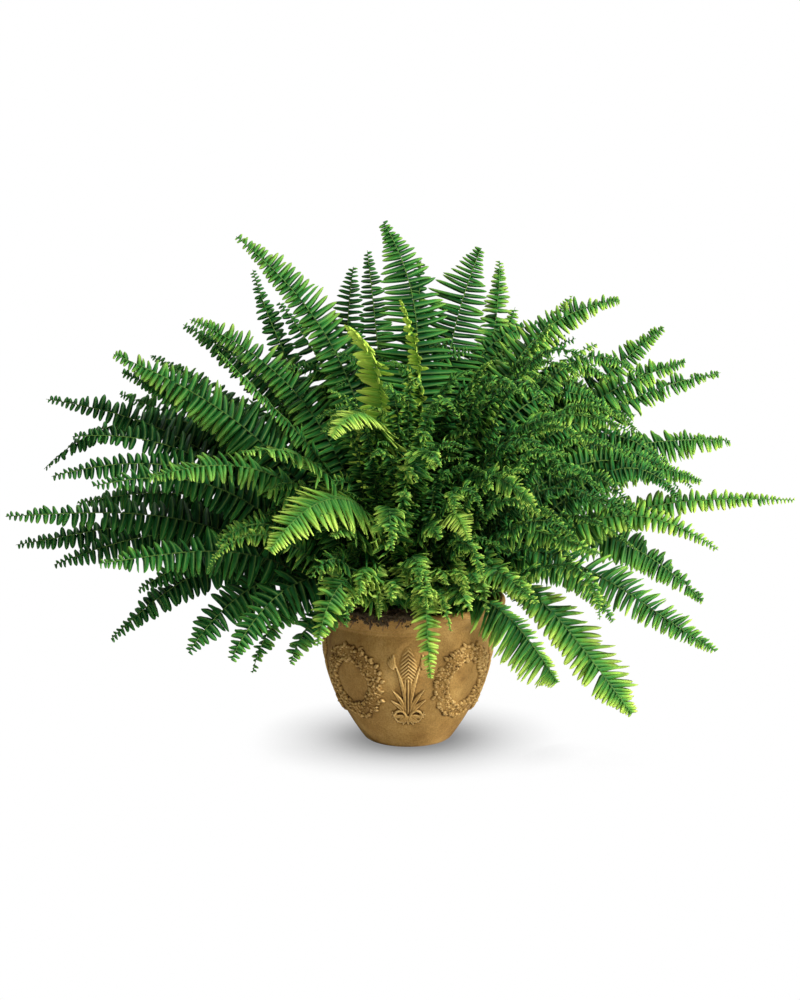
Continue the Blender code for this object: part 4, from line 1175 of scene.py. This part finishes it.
# Room: a wide pale floor under an even white sky, with soft light from above and from the right, and the camera a
# little above the pot. The camera sees the floor as a white glow with a painted contact shadow, darker only close
# under the pot.
FLOOR_PALE, FLOOR_SIZE, SHADOW_REACH = (0.78, 0.78, 0.78, 1), 40, 0.135
SHADOW_GREYS = ((0.30, 0.28), (0.50, 0.43), (0.65, 0.63), (0.80, 0.85), (0.91, 1.0))
BRIGHT_WAY, SKY_FROM, SKY_LOW, SKY_HIGH, SEEN_SKY = (0.72, -0.30, 0.62), -0.7, 0.04, 0.52, 1.0
CAMERA_PLACE, CAMERA_TILT, CAMERA_LENS, CAMERA_SENSOR = (-0.0085, -2.46202, 0.69241), 80, 85, 36

bpy.ops.object.select_all(action="DESELECT")
bpy.ops.mesh.primitive_plane_add(size=FLOOR_SIZE, location=(0, 0, 0))
floor = bpy.context.object
floor.name = "floor"
pale, tree, shader = new_material("pale_floor", 0.9)
shader.inputs["Base Color"].default_value = FLOOR_PALE
# Painted shadow: the camera sees the floor as a glow whose grey falls with nearness to the pot; other rays see a
# plain pale floor.
nearness = add_node(tree, "ShaderNodeAmbientOcclusion", samples=32, Distance=SHADOW_REACH)
greys = [(share, (grey,) * 3) for share, grey in SHADOW_GREYS]
bright = add_node(tree, "ShaderNodeEmission", Color=colour_ramp(tree, greys, nearness.outputs["AO"]))
seen = tree.nodes.new("ShaderNodeLightPath").outputs["Is Camera Ray"]
either = add_node(tree, "ShaderNodeMixShader", Fac=seen)
tree.links.new(shader.outputs["BSDF"], either.inputs[1])
tree.links.new(bright.outputs["Emission"], either.inputs[2])
tree.links.new(either.outputs["Shader"], tree.nodes["Material Output"].inputs["Surface"])
floor.data.materials.append(pale)

world = bpy.data.worlds.new("soft_room")
world.use_nodes = True
tree = world.node_tree
sky = tree.nodes["Background"]
sky.inputs["Color"].default_value = (1, 1, 1, 1)
lean = add_node(tree, "ShaderNodeVectorMath", operation="DOT_PRODUCT")
feed(tree, lean.inputs[0], tree.nodes.new("ShaderNodeTexCoord").outputs["Generated"])
feed(tree, lean.inputs[1], BRIGHT_WAY)
soft = add_node(tree, "ShaderNodeMapRange", Value=lean.outputs["Value"])
for entry, value in (("From Min", SKY_FROM), ("To Min", SKY_LOW), ("To Max", SKY_HIGH)):
    feed(tree, soft.inputs[entry], value)
seen = tree.nodes.new("ShaderNodeLightPath").outputs["Is Camera Ray"]
strength = add_node(tree, "ShaderNodeMix", data_type="FLOAT", Factor=seen)
feed(tree, strength.inputs[2], soft.outputs["Result"])
feed(tree, strength.inputs[3], SEEN_SKY)
feed(tree, sky.inputs["Strength"], strength.outputs[0])
bpy.context.scene.world = world
bpy.context.scene.view_settings.view_transform = "Standard"


def soft_light(name, place, size, power, target=(0, 0, 0.25)):
    data = bpy.data.lights.new(name, "AREA")
    data.size = size
    data.energy = power
    lamp = put(name, data)
    lamp.location = place
    lamp.rotation_euler = (Vector(target) - Vector(place)).to_track_quat("-Z", "Y").to_euler()


soft_light("key", (1.5, -1.5, 1.9), 0.30, 84)
soft_light("side", (2.0, -0.9, 0.30), 0.5, 30, (0, 0, 0.08))
soft_light("fill", (-1.1, -1.4, 2.8), 1.0, 15, (0, 0, 0.38))
soft_light("back", (-0.6, 1.9, 1.9), 1.2, 12)

camera_data = bpy.data.cameras.new("camera")
camera_data.lens = CAMERA_LENS
camera_data.sensor_width = CAMERA_SENSOR
camera = put("camera", camera_data)
camera.location = CAMERA_PLACE
camera.rotation_euler = (math.radians(CAMERA_TILT), 0, 0)
bpy.context.scene.camera = camera
